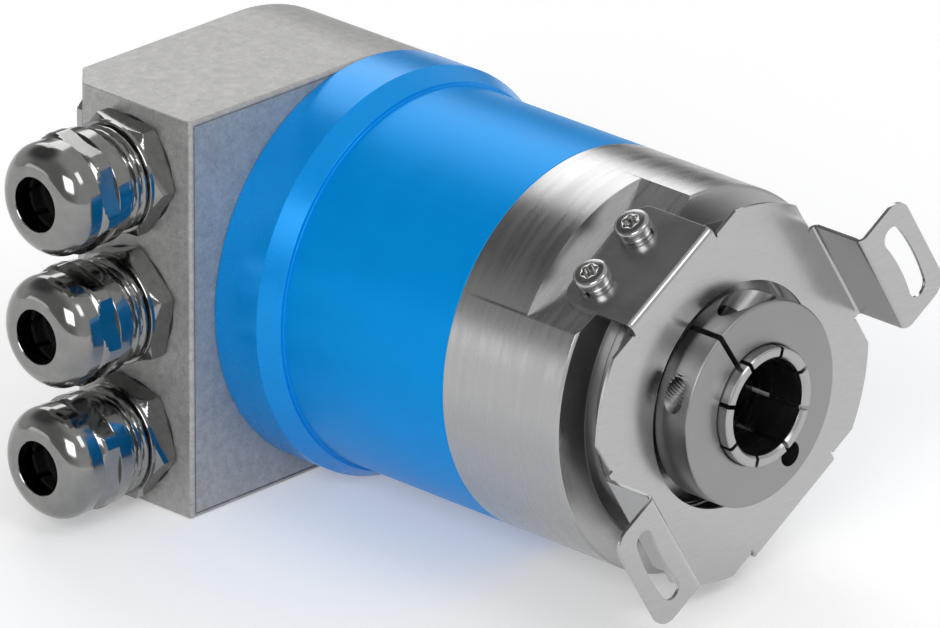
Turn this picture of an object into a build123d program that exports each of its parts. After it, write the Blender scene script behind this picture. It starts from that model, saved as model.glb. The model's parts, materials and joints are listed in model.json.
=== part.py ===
from build123d import *
import math
import os

# Frame: the shaft axis is Y and the mouth of the hollow shaft is the origin. +Y runs back to the adaptor, +Z is up.
# All sizes are in millimetres. Angles across the shaft are counted from +X towards +Z.

# Fits
seat_gap = 0.02
running_gap = 0.06
thread_gap = 0.08

# Hollow shaft
bore_r = 7.5
bore_depth = 40.0
sleeve_r = 9.25
sleeve_length = 12.6
shaft_seat_r = 10.0
shaft_shoulder_r = 12.0
shaft_shoulder_length = 3.3
shaft_end_r = 9.5
shaft_end_wall = 3.5
stub_r = 5.0
pin_r = 0.9
slot_count = 8
slot_width = 0.7
slot_length = 11.5
first_slot_angle = 27.7

# Clamp ring and its screw
ring_r = 16.0
ring_setback = 1.8
ring_width = 6.5
ring_angle = 123.7
ring_split = 0.9
ring_edge = 0.35
relief_r = 1.95
relief_distance = 12.0
clamp_screw_distance = 12.6
clamp_screw_r = 1.5
clamp_screw_length = 9.0
clamp_head_r = 2.7
clamp_head_height = 2.8
clamp_seat = 3.0
clamp_socket_r = 1.25

# Flange housing
body_r = 30.0
rim_setback = 14.95
flange_length = 23.05
rim_chamfer = 0.35
step_r = 25.2
step_lead = 1.3
step_lip = 0.35
front_recess = 0.4
spigot_length = 8.0
spigot_wall = 2.0
o_ring_place = 3.0
o_ring_r = 0.6
hub_r = body_r - 8.0
hub_length = 2.6
flat_distance = 26.2
flat_length = 9.8

# Front cover and shaft seal
cover_r = 22.2
cover_hole_r = 10.6
cover_lead = 0.9
cover_seat_depth = 1.4
seal_r = 14.0
seal_width = 3.2
seal_lip = 0.8

# Bearings
bearing_r = 16.0
bearing_width = 7.0
bearing_shoulder_r = 13.0
bearing_shoulder = 1.6
inner_land_r = 11.7
outer_land_r = 14.3
ball_r = 1.75
ball_count = 9
cage_r = 13.9
cage_hole_r = 12.1
cage_width = 4.8
spacer_length = 4.0
circlip_thickness = 1.2
circlip_depth = 1.0
circlip_width = 1.9
circlip_ear_r = 1.1

# Blue housing
housing_wall = 1.95
housing_straight = 33.1
shoulder_step = 0.6
collar_r = body_r + 2.3
collar_taper = 3.4
collar_length = 8.9
housing_floor = 2.5
plug_window_x = 20.0
plug_window_z = 8.0
floor_boss_r = 3.6
floor_boss_height = 4.0

# Stator coupling
coupling_angle = 30.5
sheet = 0.8
bend_r = 0.5
plate_setback = 7.0
plate_r = 29.4
plate_flat_u = 24.8
plate_flat_v = 25.2
plate_hole_r = 17.6
leg_width = 20.0
leg_end_y = 21.8
leg_corner = 3.5
arm_width = 20.0
arm_distance = 25.8
tab_lead = 2.6
tab_reach = 35.9
tab_corner = 3.0
tab_slot_pcr = 31.5
tab_slot_width = 3.5
tab_slot_swing = 20.0
root_notch = 0.7

# Coupling screws and spring washers
screw_r = 1.5
screw_head_r = 2.75
screw_head_height = 2.0
screw_length = 7.0
screw_pitch = 10.2
screw_y = 18.2
washer_thickness = 1.0
washer_r = 2.65
socket_r = 1.0
socket_depth = 1.2

# Scale disc and optical scanning
disc_hub_r = 9.0
disc_hub_length = 3.8
disc_r = body_r - 9.0
disc_thickness = 1.2
scan_radius = disc_r - 2.5
scan_gap = 1.0
scan_width = 9.0
scan_height = 5.0
read_head_height = 2.2
board_thickness = 1.6
board_r = body_r - 3.5
board_post_r = 1.75
board_post_distance = body_r - 6.0
rivet_r = 0.9
rivet_head = 0.8

# Turn counter
gear_module = 0.42
pinion_teeth = 10
wheel_teeth = 40
tooth_fill = 0.8
gear_width = 2.5
gear_float = 0.5
axle_r = 0.8
gearbox_lift = 2.4
gearbox_plate_thickness = 1.2
gearbox_r = body_r - 6.0
gearbox_height = 8.3
pillar_r = 1.3
pillar_distance = gearbox_r - 2.0
magnet_r = 3.0
magnet_height = 1.2
magnet_hub = 0.2
socket_height = 8.0

# Bus adaptor
adaptor_r = collar_r - 0.1
adaptor_reach = adaptor_r + 5.0
adaptor_depth = 27.5
adaptor_edge = 0.8
corner_cut = 4.5
adaptor_floor = 3.0
adaptor_wall = 2.6
gland_wall = 8.0
cavity_corner = 4.2
lid_thickness = 1.2
lid_inset = 0.4
lid_overhang = 0.2
lid_corner = 6.5
lid_screw_r = 1.25
lid_head_r = 2.4
lid_screw_length = 8.0
lid_boss_r = 2.9
seal_groove_width = 1.0
seal_groove_depth = 0.8
seal_groove_inset = 0.6
adaptor_screw_distance = body_r - 9.0
adaptor_screw_length = 7.0
adaptor_board_lift = 3.0
adaptor_board_left = 27.0
adaptor_board_right = 14.0
adaptor_board_half = 22.0
adaptor_post_r = 2.2
plug_width = 18.0
plug_thickness = 5.0
terminal_depth = 10.0
terminal_width = 12.4
terminal_height = 11.0
switch_size = 9.0
switch_height = 5.0
dial_r = 3.0
dial_height = 1.2

# Cable glands: distances run outwards from the face of the box
gland_pitch = 21.35
gland_from_front = 12.5
gland_hex = 17.0
gland_hex_start = 0.3
gland_hex_end = 3.9
gland_hex_chamfer = 0.8
gland_collar_r = 8.8
gland_collar_end = 4.6
gland_neck_r = 8.3
gland_neck_end = 13.6
entry_r = 7.6
entry_bore_r = 4.8
finger_cage_r = 6.3
finger_cage_start = 8.0
finger_cage_end = 16.6
finger_cage_wall = 1.0
finger_tip_r = 4.9
finger_slot = 0.8
cage_seat = 7.0
gland_seal_wall = 0.7
gland_seal_end = 14.0
cap_start = 8.85
cap_skirt_r = 9.05
cap_hex_start = 11.3
cap_hex_end = 14.6
cap_hex = 17.2
cap_corner_r = 9.45
cap_dome_r = 8.85
cap_dome_start = 17.2
cap_face_r = 6.7
cap_length = 20.4
cap_hole_r = 4.25
gland_turns = (55.5, 17.8, 50.7)
cap_turns = (45.4, 45.4, 28.0)

# Places along the shaft axis that follow from the sizes above
ring_rear = ring_setback + ring_width
ring_middle = ring_setback + ring_width / 2
seam_y = rim_setback + flange_length
step_y = rim_setback - step_lead
recess_y = step_y + front_recess
cover_front = step_y - cover_lead
cover_rear = recess_y + cover_seat_depth
seal_rear = cover_rear + seal_width
front_bearing_y = seal_rear + bearing_shoulder
front_bearing_end = front_bearing_y + bearing_width
rear_bearing_y = front_bearing_end + spacer_length
rear_bearing_end = rear_bearing_y + bearing_width
hub_end = seam_y + hub_length
shaft_rear = bore_depth + shaft_end_wall
disc_y = shaft_rear + disc_hub_length
disc_rear = disc_y + disc_thickness
board_y = disc_rear + scan_gap + read_head_height
board_rear = board_y + board_thickness
gearbox_y = board_rear + gearbox_lift
first_gears_y = gearbox_y + gearbox_plate_thickness + gear_float
second_gears_y = first_gears_y + gear_width + gear_float
magnets_y = second_gears_y + gear_width + magnet_hub
counter_y = gearbox_y + gearbox_plate_thickness + gearbox_height
counter_rear = counter_y + board_thickness
shoulder_y = seam_y + housing_straight
collar_y = shoulder_y + collar_taper
adaptor_y = collar_y + collar_length
housing_inside = adaptor_y - housing_floor
adaptor_inside = adaptor_y + adaptor_floor
adaptor_rear = adaptor_y + adaptor_depth
adaptor_board_y = adaptor_inside + adaptor_board_lift
adaptor_board_rear = adaptor_board_y + board_thickness
gland_y = adaptor_y + gland_from_front

# Radii and places across it
housing_bore_r = body_r - housing_wall
spigot_r = housing_bore_r - seat_gap
ball_path_r = (inner_land_r + outer_land_r) / 2
leg_face = flat_distance + sheet
pinion_pitch_r = gear_module * pinion_teeth / 2
wheel_pitch_r = gear_module * wheel_teeth / 2
gear_distance = pinion_pitch_r + wheel_pitch_r
first_axle = (gear_distance, 0)
second_axle = (gear_distance, gear_distance)
half_pitch = 180 / wheel_teeth
lid_reach = adaptor_reach - corner_cut + lid_overhang
lid_r = adaptor_r - lid_inset
gland_heights = (gland_pitch, 0, -gland_pitch)
board_post_angles = (60, 180, 300)
pillar_angles = (150, 240, 330)
adaptor_screw_angles = (45, 135, 225, 315)
lid_screw_high = adaptor_r - 6.2
lid_screw_low = adaptor_r - 14.7
lid_screw_right = adaptor_r - 11.7
lid_screw_places = (
    (-25.0, lid_screw_high),
    (-25.0, -lid_screw_high),
    (lid_screw_right, lid_screw_low),
    (lid_screw_right, -lid_screw_low),
)
adaptor_post_places = ((-23.0, 18.0), (-23.0, -18.0), (11.0, 19.5), (11.0, -19.5))
terminal_places = ((-14.0, 14.0), (-14.0, 0), (-14.0, -14.0))
switch_places = ((4.0, 8.0), (4.0, -8.0))

os.makedirs("parts", exist_ok=True)


def keep(piece, name):
    """Labels a finished piece and writes it to its own file."""
    piece.part.label = name
    export_step(piece.part, f"parts/{name}.step")


def section(y, turn=0):
    """Plane across the shaft at y: local x along X, local y along Z, both turned about the shaft. Its normal is -Y."""
    out = math.radians(turn)
    return Plane(origin=(0, y, 0), x_dir=(math.cos(out), 0, math.sin(out)), z_dir=(0, -1, 0))


def lengthwise(turn):
    """Plane through the shaft axis: local x straight out at the turn, local y along +Y."""
    out = math.radians(turn)
    normal = (-math.sin(out), 0, math.cos(out))
    return Plane(origin=(0, 0, 0), x_dir=(math.cos(out), 0, math.sin(out)), z_dir=normal)


def leg_side(turn, distance):
    """Plane along one side of the coupling: local x across its leg, local y along +Y, its normal straight out."""
    across = section(0, coupling_angle + turn)
    return Plane(origin=across.y_dir * distance, x_dir=across.x_dir, z_dir=across.y_dir)


def gland_profile(z):
    """Plane through a gland's axis: local x is the radius, local y the distance out from the box."""
    return Plane(origin=(-adaptor_reach, gland_y, z), x_dir=(0, 1, 0), z_dir=(0, 0, 1))


def gland_section(z, out, turn=0):
    """Plane across a gland at a distance out from the box, turned about its axis. Its normal is -X."""
    side = (0, math.cos(math.radians(turn)), -math.sin(math.radians(turn)))
    return Plane(origin=(-adaptor_reach - out, gland_y, z), x_dir=side, z_dir=(-1, 0, 0))


def outline(plane, *points):
    """Closed shape through the points on a plane."""
    with BuildSketch(plane) as shape:
        with BuildLine():
            Polyline(*points, close=True)
        make_face()
    return shape.sketch


def band(inner, outer, start, end):
    """Half section of a plain ring about the shaft."""
    return outline(Plane.XY, (inner, start), (outer, start), (outer, end), (inner, end))


def ring_at(plane, inner, outer):
    """Flat ring on a plane."""
    with BuildSketch(plane) as shape:
        Circle(outer)
        Circle(inner, mode=Mode.SUBTRACT)
    return shape.sketch


def around(distance, angles):
    """Places at one distance from the centre of a section."""
    return [(distance * math.cos(math.radians(a)), distance * math.sin(math.radians(a))) for a in angles]


def discs(plane, places, radius):
    """Equal round discs on a plane."""
    with BuildSketch(plane) as shape:
        with Locations(*places):
            Circle(radius)
    return shape.sketch


def blocks(plane, places, width, height):
    """Equal rectangles on a plane."""
    with BuildSketch(plane) as shape:
        with Locations(*places):
            Rectangle(width, height)
    return shape.sketch


# Hollow shaft: slotted sleeve, bearing seats, rear shoulder, and a stub and a pin for the scale disc and the pinion
with BuildPart() as hollow_shaft:
    front_groove_y = front_bearing_y - circlip_thickness
    shoulder_end = rear_bearing_end + shaft_shoulder_length
    pin_end = first_gears_y + gear_width
    shaft_profile = outline(
        Plane.XY,
        (bore_r, 0),
        (sleeve_r, 0),
        (sleeve_r, sleeve_length),
        (shaft_seat_r, sleeve_length),
        (shaft_seat_r, front_groove_y),
        (shaft_seat_r - circlip_depth, front_groove_y),
        (shaft_seat_r - circlip_depth, front_bearing_y),
        (shaft_seat_r, front_bearing_y),
        (shaft_seat_r, rear_bearing_end),
        (shaft_shoulder_r, rear_bearing_end),
        (shaft_shoulder_r, shoulder_end),
        (shaft_end_r, shoulder_end),
        (shaft_end_r, shaft_rear),
        (stub_r, shaft_rear),
        (stub_r, disc_rear),
        (pin_r, disc_rear),
        (pin_r, pin_end),
        (0, pin_end),
        (0, bore_depth),
        (bore_r, bore_depth),
    )
    revolve(shaft_profile, axis=Axis.Y)
    with BuildSketch(section(0)):
        with PolarLocations(sleeve_r, slot_count, start_angle=first_slot_angle):
            Rectangle(sleeve_r, slot_width)
    extrude(amount=-slot_length, mode=Mode.SUBTRACT)
keep(hollow_shaft, "hollow_shaft")

# Clamp ring: split on one side, relieved on the other, with a screw across the split
ring_plane = section(ring_middle, ring_angle)
screw_line = Plane(
    origin=ring_plane.origin + ring_plane.x_dir * clamp_screw_distance,
    x_dir=(0, 1, 0),
    z_dir=ring_plane.y_dir,
)
with BuildPart() as clamp_ring:
    revolve(band(sleeve_r + seat_gap, ring_r, ring_setback, ring_rear), axis=Axis.Y)
    chamfer(clamp_ring.edges().filter_by(GeomType.CIRCLE), ring_edge)
    with BuildSketch(ring_plane):
        with Locations((ring_r, 0)):
            Rectangle(2 * ring_r - sleeve_r, ring_split)
        with Locations((-relief_distance, 0)):
            Circle(relief_r)
        with Locations((-relief_distance / 2 - sleeve_r / 2, 0)):
            Rectangle(2 * relief_r, ring_split)
    extrude(amount=ring_width, both=True, mode=Mode.SUBTRACT)
    extrude(discs(screw_line, [(0, 0)], clamp_screw_r + seat_gap), amount=ring_r, both=True, mode=Mode.SUBTRACT)
    head_pocket = discs(screw_line.offset(-clamp_seat), [(0, 0)], clamp_head_r + 0.3)
    extrude(head_pocket, amount=-ring_r, mode=Mode.SUBTRACT)
keep(clamp_ring, "clamp_ring")

with BuildPart() as clamp_screw:
    extrude(discs(screw_line.offset(-clamp_seat), [(0, 0)], clamp_screw_r - running_gap), amount=clamp_screw_length)
    extrude(discs(screw_line.offset(-clamp_seat), [(0, 0)], clamp_head_r), amount=-clamp_head_height)
    with BuildSketch(screw_line.offset(-clamp_seat - clamp_head_height)):
        RegularPolygon(clamp_socket_r, 6, major_radius=False)
    extrude(amount=clamp_head_height / 2, mode=Mode.SUBTRACT)
keep(clamp_screw, "clamp_screw")

# Flange housing: one turned body with the bearing bore, a spigot for the blue housing and two milled flats
with BuildPart() as flange_housing:
    groove_y = seam_y + o_ring_place
    groove_end = groove_y + 2.4 * o_ring_r
    spigot_end = seam_y + spigot_length
    clip_end = rear_bearing_end + circlip_thickness
    flange_profile = outline(
        Plane.XY,
        (bearing_r, front_bearing_y),
        (bearing_shoulder_r, front_bearing_y),
        (bearing_shoulder_r, seal_rear),
        (seal_r, seal_rear),
        (seal_r, cover_rear),
        (cover_r, cover_rear),
        (cover_r, recess_y),
        (step_r - step_lip, recess_y),
        (step_r - step_lip, step_y + step_lip / 2),
        (step_r, step_y),
        (body_r - rim_chamfer, rim_setback - rim_chamfer),
        (body_r, rim_setback),
        (body_r, seam_y),
        (spigot_r, seam_y),
        (spigot_r, groove_y),
        (spigot_r - 2.1 * o_ring_r, groove_y),
        (spigot_r - 2.1 * o_ring_r, groove_end),
        (spigot_r, groove_end),
        (spigot_r, spigot_end),
        (spigot_r - spigot_wall, spigot_end),
        (spigot_r - spigot_wall, seam_y),
        (hub_r, seam_y),
        (hub_r, hub_end),
        (bearing_r, hub_end),
        (bearing_r, clip_end),
        (bearing_r + circlip_depth, clip_end),
        (bearing_r + circlip_depth, rear_bearing_end),
        (bearing_r, rear_bearing_end),
    )
    revolve(flange_profile, axis=Axis.Y)
    for turn in (0, 180):
        flat_middle = rim_setback + flat_length / 2 - 2
        flat_area = blocks(leg_side(turn, flat_distance), [(0, flat_middle)], 2 * body_r, flat_length + 4)
        extrude(flat_area, amount=body_r, mode=Mode.SUBTRACT)
        screw_places = [(-screw_pitch / 2, screw_y), (screw_pitch / 2, screw_y)]
        tapped = discs(leg_side(turn, flat_distance), screw_places, screw_r + seat_gap)
        extrude(tapped, amount=-screw_length, mode=Mode.SUBTRACT)
keep(flange_housing, "flange_housing")

# Front cover and the lip seal behind it
with BuildPart() as front_cover:
    revolve(band(cover_hole_r, cover_r - seat_gap, cover_front, cover_rear), axis=Axis.Y)
keep(front_cover, "front_cover")

with BuildPart() as shaft_seal:
    lip_r = shaft_seat_r + running_gap
    seal_profile = outline(
        Plane.XY,
        (lip_r, cover_rear + 0.6),
        (cover_hole_r + 0.8, cover_rear),
        (seal_r - seat_gap, cover_rear),
        (seal_r - seat_gap, seal_rear),
        (cover_hole_r + 1.4, seal_rear),
        (cover_hole_r + 1.4, cover_rear + seal_lip + 0.6),
        (lip_r, cover_rear + seal_lip + 0.2),
    )
    revolve(seal_profile, axis=Axis.Y)
keep(shaft_seal, "shaft_seal")


# Two deep groove ball bearings, each in four pieces
def bearing(name, y):
    """Inner ring, outer ring, balls and cage of a bearing that starts at y."""
    middle = y + bearing_width / 2
    with BuildSketch(Plane.XY) as track:
        with Locations((ball_path_r, middle)):
            Circle(ball_r + running_gap)
    ball_angles = [360 / ball_count * i for i in range(ball_count)]
    ball_places = [(x, middle, z) for x, z in around(ball_path_r, ball_angles)]
    with BuildPart() as inner_ring:
        revolve(band(shaft_seat_r + seat_gap, inner_land_r, y, y + bearing_width), axis=Axis.Y)
        revolve(track.sketch, axis=Axis.Y, mode=Mode.SUBTRACT)
    keep(inner_ring, f"{name}_bearing_inner_ring")
    with BuildPart() as outer_ring:
        revolve(band(outer_land_r, bearing_r - seat_gap, y, y + bearing_width), axis=Axis.Y)
        revolve(track.sketch, axis=Axis.Y, mode=Mode.SUBTRACT)
    keep(outer_ring, f"{name}_bearing_outer_ring")
    with BuildPart() as balls:
        with Locations(*ball_places):
            Sphere(ball_r)
    keep(balls, f"{name}_bearing_balls")
    with BuildPart() as cage:
        revolve(band(cage_hole_r, cage_r, middle - cage_width / 2, middle + cage_width / 2), axis=Axis.Y)
        for angle in ball_angles:
            pocket_plane = lengthwise(angle)
            pocket_face = Plane(
                origin=pocket_plane.x_dir * cage_hole_r / 2 + Vector(0, middle, 0),
                x_dir=(0, 1, 0),
                z_dir=pocket_plane.x_dir,
            )
            extrude(discs(pocket_face, [(0, 0)], ball_r + 2 * running_gap), amount=cage_hole_r, mode=Mode.SUBTRACT)
    keep(cage, f"{name}_bearing_cage")


bearing("front", front_bearing_y)
bearing("rear", rear_bearing_y)

with BuildPart() as bearing_spacer:
    revolve(band(shaft_seat_r + seat_gap, inner_land_r, front_bearing_end, rear_bearing_y), axis=Axis.Y)
keep(bearing_spacer, "bearing_spacer")


def circlip(name, inner, outer, ear_distance, y):
    """Open retaining ring with two eyes, in a groove that starts at y."""
    with BuildPart() as clip:
        with BuildSketch(section(y + seat_gap)):
            Circle(outer)
            Circle(inner, mode=Mode.SUBTRACT)
            with Locations((ear_distance, 0)):
                Rectangle(4 * circlip_ear_r, 2 * circlip_ear_r, mode=Mode.SUBTRACT)
            with Locations(*around(ear_distance, (-9, 9))):
                Circle(circlip_ear_r)
                Circle(circlip_ear_r / 2, mode=Mode.SUBTRACT)
        extrude(amount=-(circlip_thickness - 2 * seat_gap))
    keep(clip, name)


shaft_clip_r = shaft_seat_r - circlip_depth + seat_gap
bore_clip_r = bearing_r + circlip_depth - seat_gap
circlip("shaft_circlip", shaft_clip_r, shaft_clip_r + circlip_width, shaft_clip_r + 2, front_groove_y)
circlip("bearing_circlip", bore_clip_r - circlip_width, bore_clip_r, bore_clip_r - 2, rear_bearing_end)

# Blue housing: a cap with a tapered collar, a floor with the plug window, and four bosses
with BuildPart() as blue_housing:
    housing_profile = outline(
        Plane.XY,
        (0, adaptor_y),
        (collar_r, adaptor_y),
        (collar_r, collar_y),
        (body_r + shoulder_step, shoulder_y),
        (body_r, shoulder_y),
        (body_r, seam_y),
        (housing_bore_r, seam_y),
        (housing_bore_r, housing_inside),
        (0, housing_inside),
    )
    revolve(housing_profile, axis=Axis.Y)
    floor_places = around(adaptor_screw_distance, adaptor_screw_angles)
    extrude(discs(section(housing_inside), floor_places, floor_boss_r), amount=floor_boss_height)
    window = blocks(section(housing_inside), [(0, 0)], plug_window_x, plug_window_z)
    extrude(window, amount=-housing_floor, mode=Mode.SUBTRACT)
    tapped = discs(section(adaptor_y), floor_places, screw_r + seat_gap)
    extrude(tapped, amount=housing_floor + floor_boss_height, mode=Mode.SUBTRACT)
keep(blue_housing, "blue_housing")

with BuildPart() as housing_o_ring:
    with BuildSketch(Plane.XY):
        with Locations((housing_bore_r - o_ring_r - seat_gap, groove_y + 1.2 * o_ring_r)):
            Circle(o_ring_r)
    revolve(axis=Axis.Y)
keep(housing_o_ring, "housing_o_ring")

# Stator coupling: a plate with two legs folded back onto the flats and two arms folded forward to the slotted tabs
plate_back = plate_setback + sheet
arm_out = arm_distance + sheet
strip_start = plate_hole_r + 4


def folded(turn, points, bends, mask):
    """Strip of folded sheet: its profile rounded at the bends, cut to the outline of the mask."""
    with BuildSketch(lengthwise(coupling_angle + turn)) as profile:
        with BuildLine():
            Polyline(*points, close=True)
        make_face()
        for x, y, radius in bends:
            fillet(profile.vertices().sort_by_distance((x, y, 0))[0], radius)
    with BuildPart() as strip:
        extrude(profile.sketch, amount=leg_width, both=True)
        extrude(mask, amount=2 * body_r, mode=Mode.INTERSECT)
    return strip.part


leg_points = (
    (strip_start, plate_setback),
    (leg_face, plate_setback),
    (leg_face, leg_end_y),
    (flat_distance, leg_end_y),
    (flat_distance, plate_back),
    (strip_start, plate_back),
)
leg_bends = ((leg_face, plate_setback, bend_r + sheet), (flat_distance, plate_back, bend_r))
arm_points = (
    (strip_start, plate_back),
    (arm_out, plate_back),
    (arm_out, sheet - tab_lead),
    (tab_reach, sheet - tab_lead),
    (tab_reach, -tab_lead),
    (arm_distance, -tab_lead),
    (arm_distance, plate_setback),
    (strip_start, plate_setback),
)
arm_bends = (
    (arm_out, plate_back, bend_r + sheet),
    (arm_out, sheet - tab_lead, bend_r),
    (arm_distance, -tab_lead, bend_r + sheet),
    (arm_distance, plate_setback, bend_r),
)
strips = []
for turn in (0, 180):
    with BuildSketch(leg_side(turn, 0)) as leg_mask:
        with Locations((0, leg_end_y / 2)):
            Rectangle(leg_width, leg_end_y)
        fillet(leg_mask.vertices().group_by(Axis.Y)[-1], leg_corner)
        with Locations((-screw_pitch / 2, screw_y), (screw_pitch / 2, screw_y)):
            Circle(screw_r + 0.15, mode=Mode.SUBTRACT)
    strips.append(folded(90 + turn, leg_points, leg_bends, leg_mask.sketch))
    with BuildSketch(section(body_r, coupling_angle + turn)) as arm_mask:
        with Locations((tab_reach / 2, 0)):
            Rectangle(tab_reach, arm_width)
        fillet(arm_mask.vertices().group_by(Axis.X)[-1], tab_corner)
        with BuildLine(mode=Mode.PRIVATE) as slot_path:
            CenterArc((0, 0), tab_slot_pcr, -tab_slot_swing / 2, tab_slot_swing)
        SlotArc(slot_path.edges()[0], tab_slot_width, mode=Mode.SUBTRACT)
    strips.append(folded(turn, arm_points, arm_bends, arm_mask.sketch))

with BuildPart() as stator_coupling:
    notch_x = leg_width / 2 + root_notch / 2
    with BuildSketch(section(plate_setback, coupling_angle)):
        Circle(plate_r)
        Rectangle(2 * plate_flat_u, 2 * plate_flat_v, mode=Mode.INTERSECT)
        with Locations(*[(x, y) for x in (-notch_x, notch_x) for y in (-plate_flat_v, plate_flat_v)]):
            Rectangle(root_notch, 2 * root_notch, mode=Mode.SUBTRACT)
        with Locations(*[(x, y) for x in (-plate_flat_u, plate_flat_u) for y in (-notch_x, notch_x)]):
            Rectangle(2 * root_notch, root_notch, mode=Mode.SUBTRACT)
        Circle(plate_hole_r, mode=Mode.SUBTRACT)
    extrude(amount=-sheet)
    add(strips)
keep(stator_coupling, "stator_coupling")

# Two coupling screws with spring washers on each leg
screw_places = [(-screw_pitch / 2, screw_y), (screw_pitch / 2, screw_y)]
head_seat = leg_face + washer_thickness
with BuildPart() as coupling_screws:
    for turn in (0, 180):
        seat = leg_side(turn, head_seat)
        extrude(discs(seat, screw_places, screw_r - running_gap), amount=-screw_length)
        extrude(discs(seat, screw_places, screw_head_r), amount=screw_head_height)
    fillet(coupling_screws.edges().filter_by(GeomType.CIRCLE).filter_by(
        lambda edge: abs(edge.radius - screw_head_r) < 0.01 and edge.center().length > head_seat + 4
    ), 0.6)
    for turn in (0, 180):
        with BuildSketch(leg_side(turn, head_seat + screw_head_height)):
            with Locations(*screw_places):
                RegularPolygon(socket_r, 6)
        extrude(amount=-socket_depth, mode=Mode.SUBTRACT)
keep(coupling_screws, "coupling_screws")

with BuildPart() as lock_washers:
    for turn in (0, 180):
        with BuildSketch(leg_side(turn, leg_face)):
            with Locations(*screw_places):
                Circle(washer_r)
                Circle(screw_r + running_gap, mode=Mode.SUBTRACT)
        extrude(amount=washer_thickness)
keep(lock_washers, "lock_washers")

# Scale disc on its hub, with the light source ahead of it
with BuildPart() as disc_hub:
    revolve(band(stub_r + seat_gap, disc_hub_r, shaft_rear, disc_y), axis=Axis.Y)
keep(disc_hub, "disc_hub")

with BuildPart() as code_disc:
    revolve(band(stub_r + seat_gap, disc_r, disc_y, disc_rear), axis=Axis.Y)
keep(code_disc, "code_disc")

with BuildPart() as light_source:
    lamp_height = disc_y - scan_gap - hub_end
    extrude(blocks(section(hub_end), [(scan_radius, 0)], scan_height, scan_width), amount=-lamp_height)
    extrude(discs(section(hub_end + lamp_height), [(scan_radius, 0)], scan_height / 3), amount=-scan_gap / 2)
keep(light_source, "light_source")

# Sensor board on three riveted posts, with the read head on its front
board_posts = around(board_post_distance, board_post_angles)
with BuildPart() as board_spacers:
    extrude(discs(section(seam_y), board_posts, board_post_r), amount=seam_y - board_y)
    extrude(discs(section(board_y), board_posts, rivet_r), amount=-board_thickness)
    extrude(discs(section(board_rear), board_posts, board_post_r), amount=-rivet_head)
keep(board_spacers, "board_spacers")

pillars = around(pillar_distance, pillar_angles)
with BuildPart() as sensor_board:
    with BuildSketch(section(board_y)):
        Circle(board_r)
        Circle(pinion_pitch_r, mode=Mode.SUBTRACT)
        with Locations(*board_posts, *pillars):
            Circle(rivet_r + seat_gap, mode=Mode.SUBTRACT)
    extrude(amount=-board_thickness)
keep(sensor_board, "sensor_board")

with BuildPart() as read_head:
    head_area = blocks(section(disc_rear + scan_gap), [(scan_radius, 0)], scan_height, scan_width)
    extrude(head_area, amount=-read_head_height)
keep(read_head, "read_head")

# Turn counter: riveted pillars carry the gear plate and the counter board, and two axles run between these
with BuildPart() as gearbox_pillars:
    extrude(discs(section(board_y), pillars, rivet_r), amount=-board_thickness)
    extrude(discs(section(board_y), pillars, board_post_r), amount=rivet_head)
    extrude(discs(section(board_rear), pillars, board_post_r), amount=-gearbox_lift)
    extrude(discs(section(gearbox_y), pillars, pillar_r), amount=gearbox_y - counter_y)
    extrude(discs(section(counter_y), pillars, rivet_r), amount=-board_thickness)
    extrude(discs(section(counter_rear), pillars, board_post_r), amount=-rivet_head)
keep(gearbox_pillars, "gearbox_pillars")

axles = [first_axle, second_axle]
with BuildPart() as gearbox_plate:
    with BuildSketch(section(gearbox_y)):
        Circle(gearbox_r)
        Circle(pinion_pitch_r + 1, mode=Mode.SUBTRACT)
        with Locations(*pillars):
            Circle(pillar_r + seat_gap, mode=Mode.SUBTRACT)
        with Locations(*axles):
            Circle(axle_r + seat_gap, mode=Mode.SUBTRACT)
    extrude(amount=-gearbox_plate_thickness)
keep(gearbox_plate, "gearbox_plate")

with BuildPart() as gear_axles:
    extrude(discs(section(gearbox_y), axles, axle_r), amount=gearbox_y - counter_rear)
keep(gear_axles, "gear_axles")

with BuildPart() as turn_counter_board:
    with BuildSketch(section(counter_y)):
        Circle(gearbox_r)
        with Locations(*pillars):
            Circle(rivet_r + seat_gap, mode=Mode.SUBTRACT)
        with Locations(*axles):
            Circle(axle_r + seat_gap, mode=Mode.SUBTRACT)
    extrude(amount=-board_thickness)
keep(turn_counter_board, "turn_counter_board")


def gear(plane, teeth, phase):
    """Straight toothed gear with its first tooth at the phase angle, the teeth thinned to leave play."""
    pitch_r = gear_module * teeth / 2
    half = math.pi * gear_module / 4 * tooth_fill
    corners = ((-1.25, -1.45), (1, -0.42), (1, 0.42), (-1.25, 1.45))
    points = []
    for i in range(teeth):
        for lift, share in corners:
            radius = pitch_r + lift * gear_module
            angle = math.radians(phase + 360 / teeth * i) + share * half / radius
            points.append((radius * math.cos(angle), radius * math.sin(angle)))
    return outline(plane, *points)


def centred(place, y):
    """Section at y with its origin on an axle."""
    return Plane(origin=(place[0], y, place[1]), x_dir=(1, 0, 0), z_dir=(0, -1, 0))


with BuildPart() as drive_pinion:
    extrude(gear(section(first_gears_y), pinion_teeth, 0), amount=-gear_width)
    extrude(discs(section(first_gears_y), [(0, 0)], pin_r + seat_gap), amount=-gear_width, mode=Mode.SUBTRACT)
keep(drive_pinion, "drive_pinion")

with BuildPart() as turn_gear_1:
    pinion_start = first_gears_y + gear_width
    pinion_length = magnets_y - pinion_start
    extrude(gear(centred(first_axle, first_gears_y), wheel_teeth, half_pitch), amount=-gear_width)
    pinion_phase = 90 % (360 / pinion_teeth)
    extrude(gear(centred(first_axle, pinion_start), pinion_teeth, pinion_phase), amount=-pinion_length)
    axle_hole = discs(centred(first_axle, first_gears_y), [(0, 0)], axle_r + running_gap)
    extrude(axle_hole, amount=first_gears_y - magnets_y, mode=Mode.SUBTRACT)
keep(turn_gear_1, "turn_gear_1")

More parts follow.
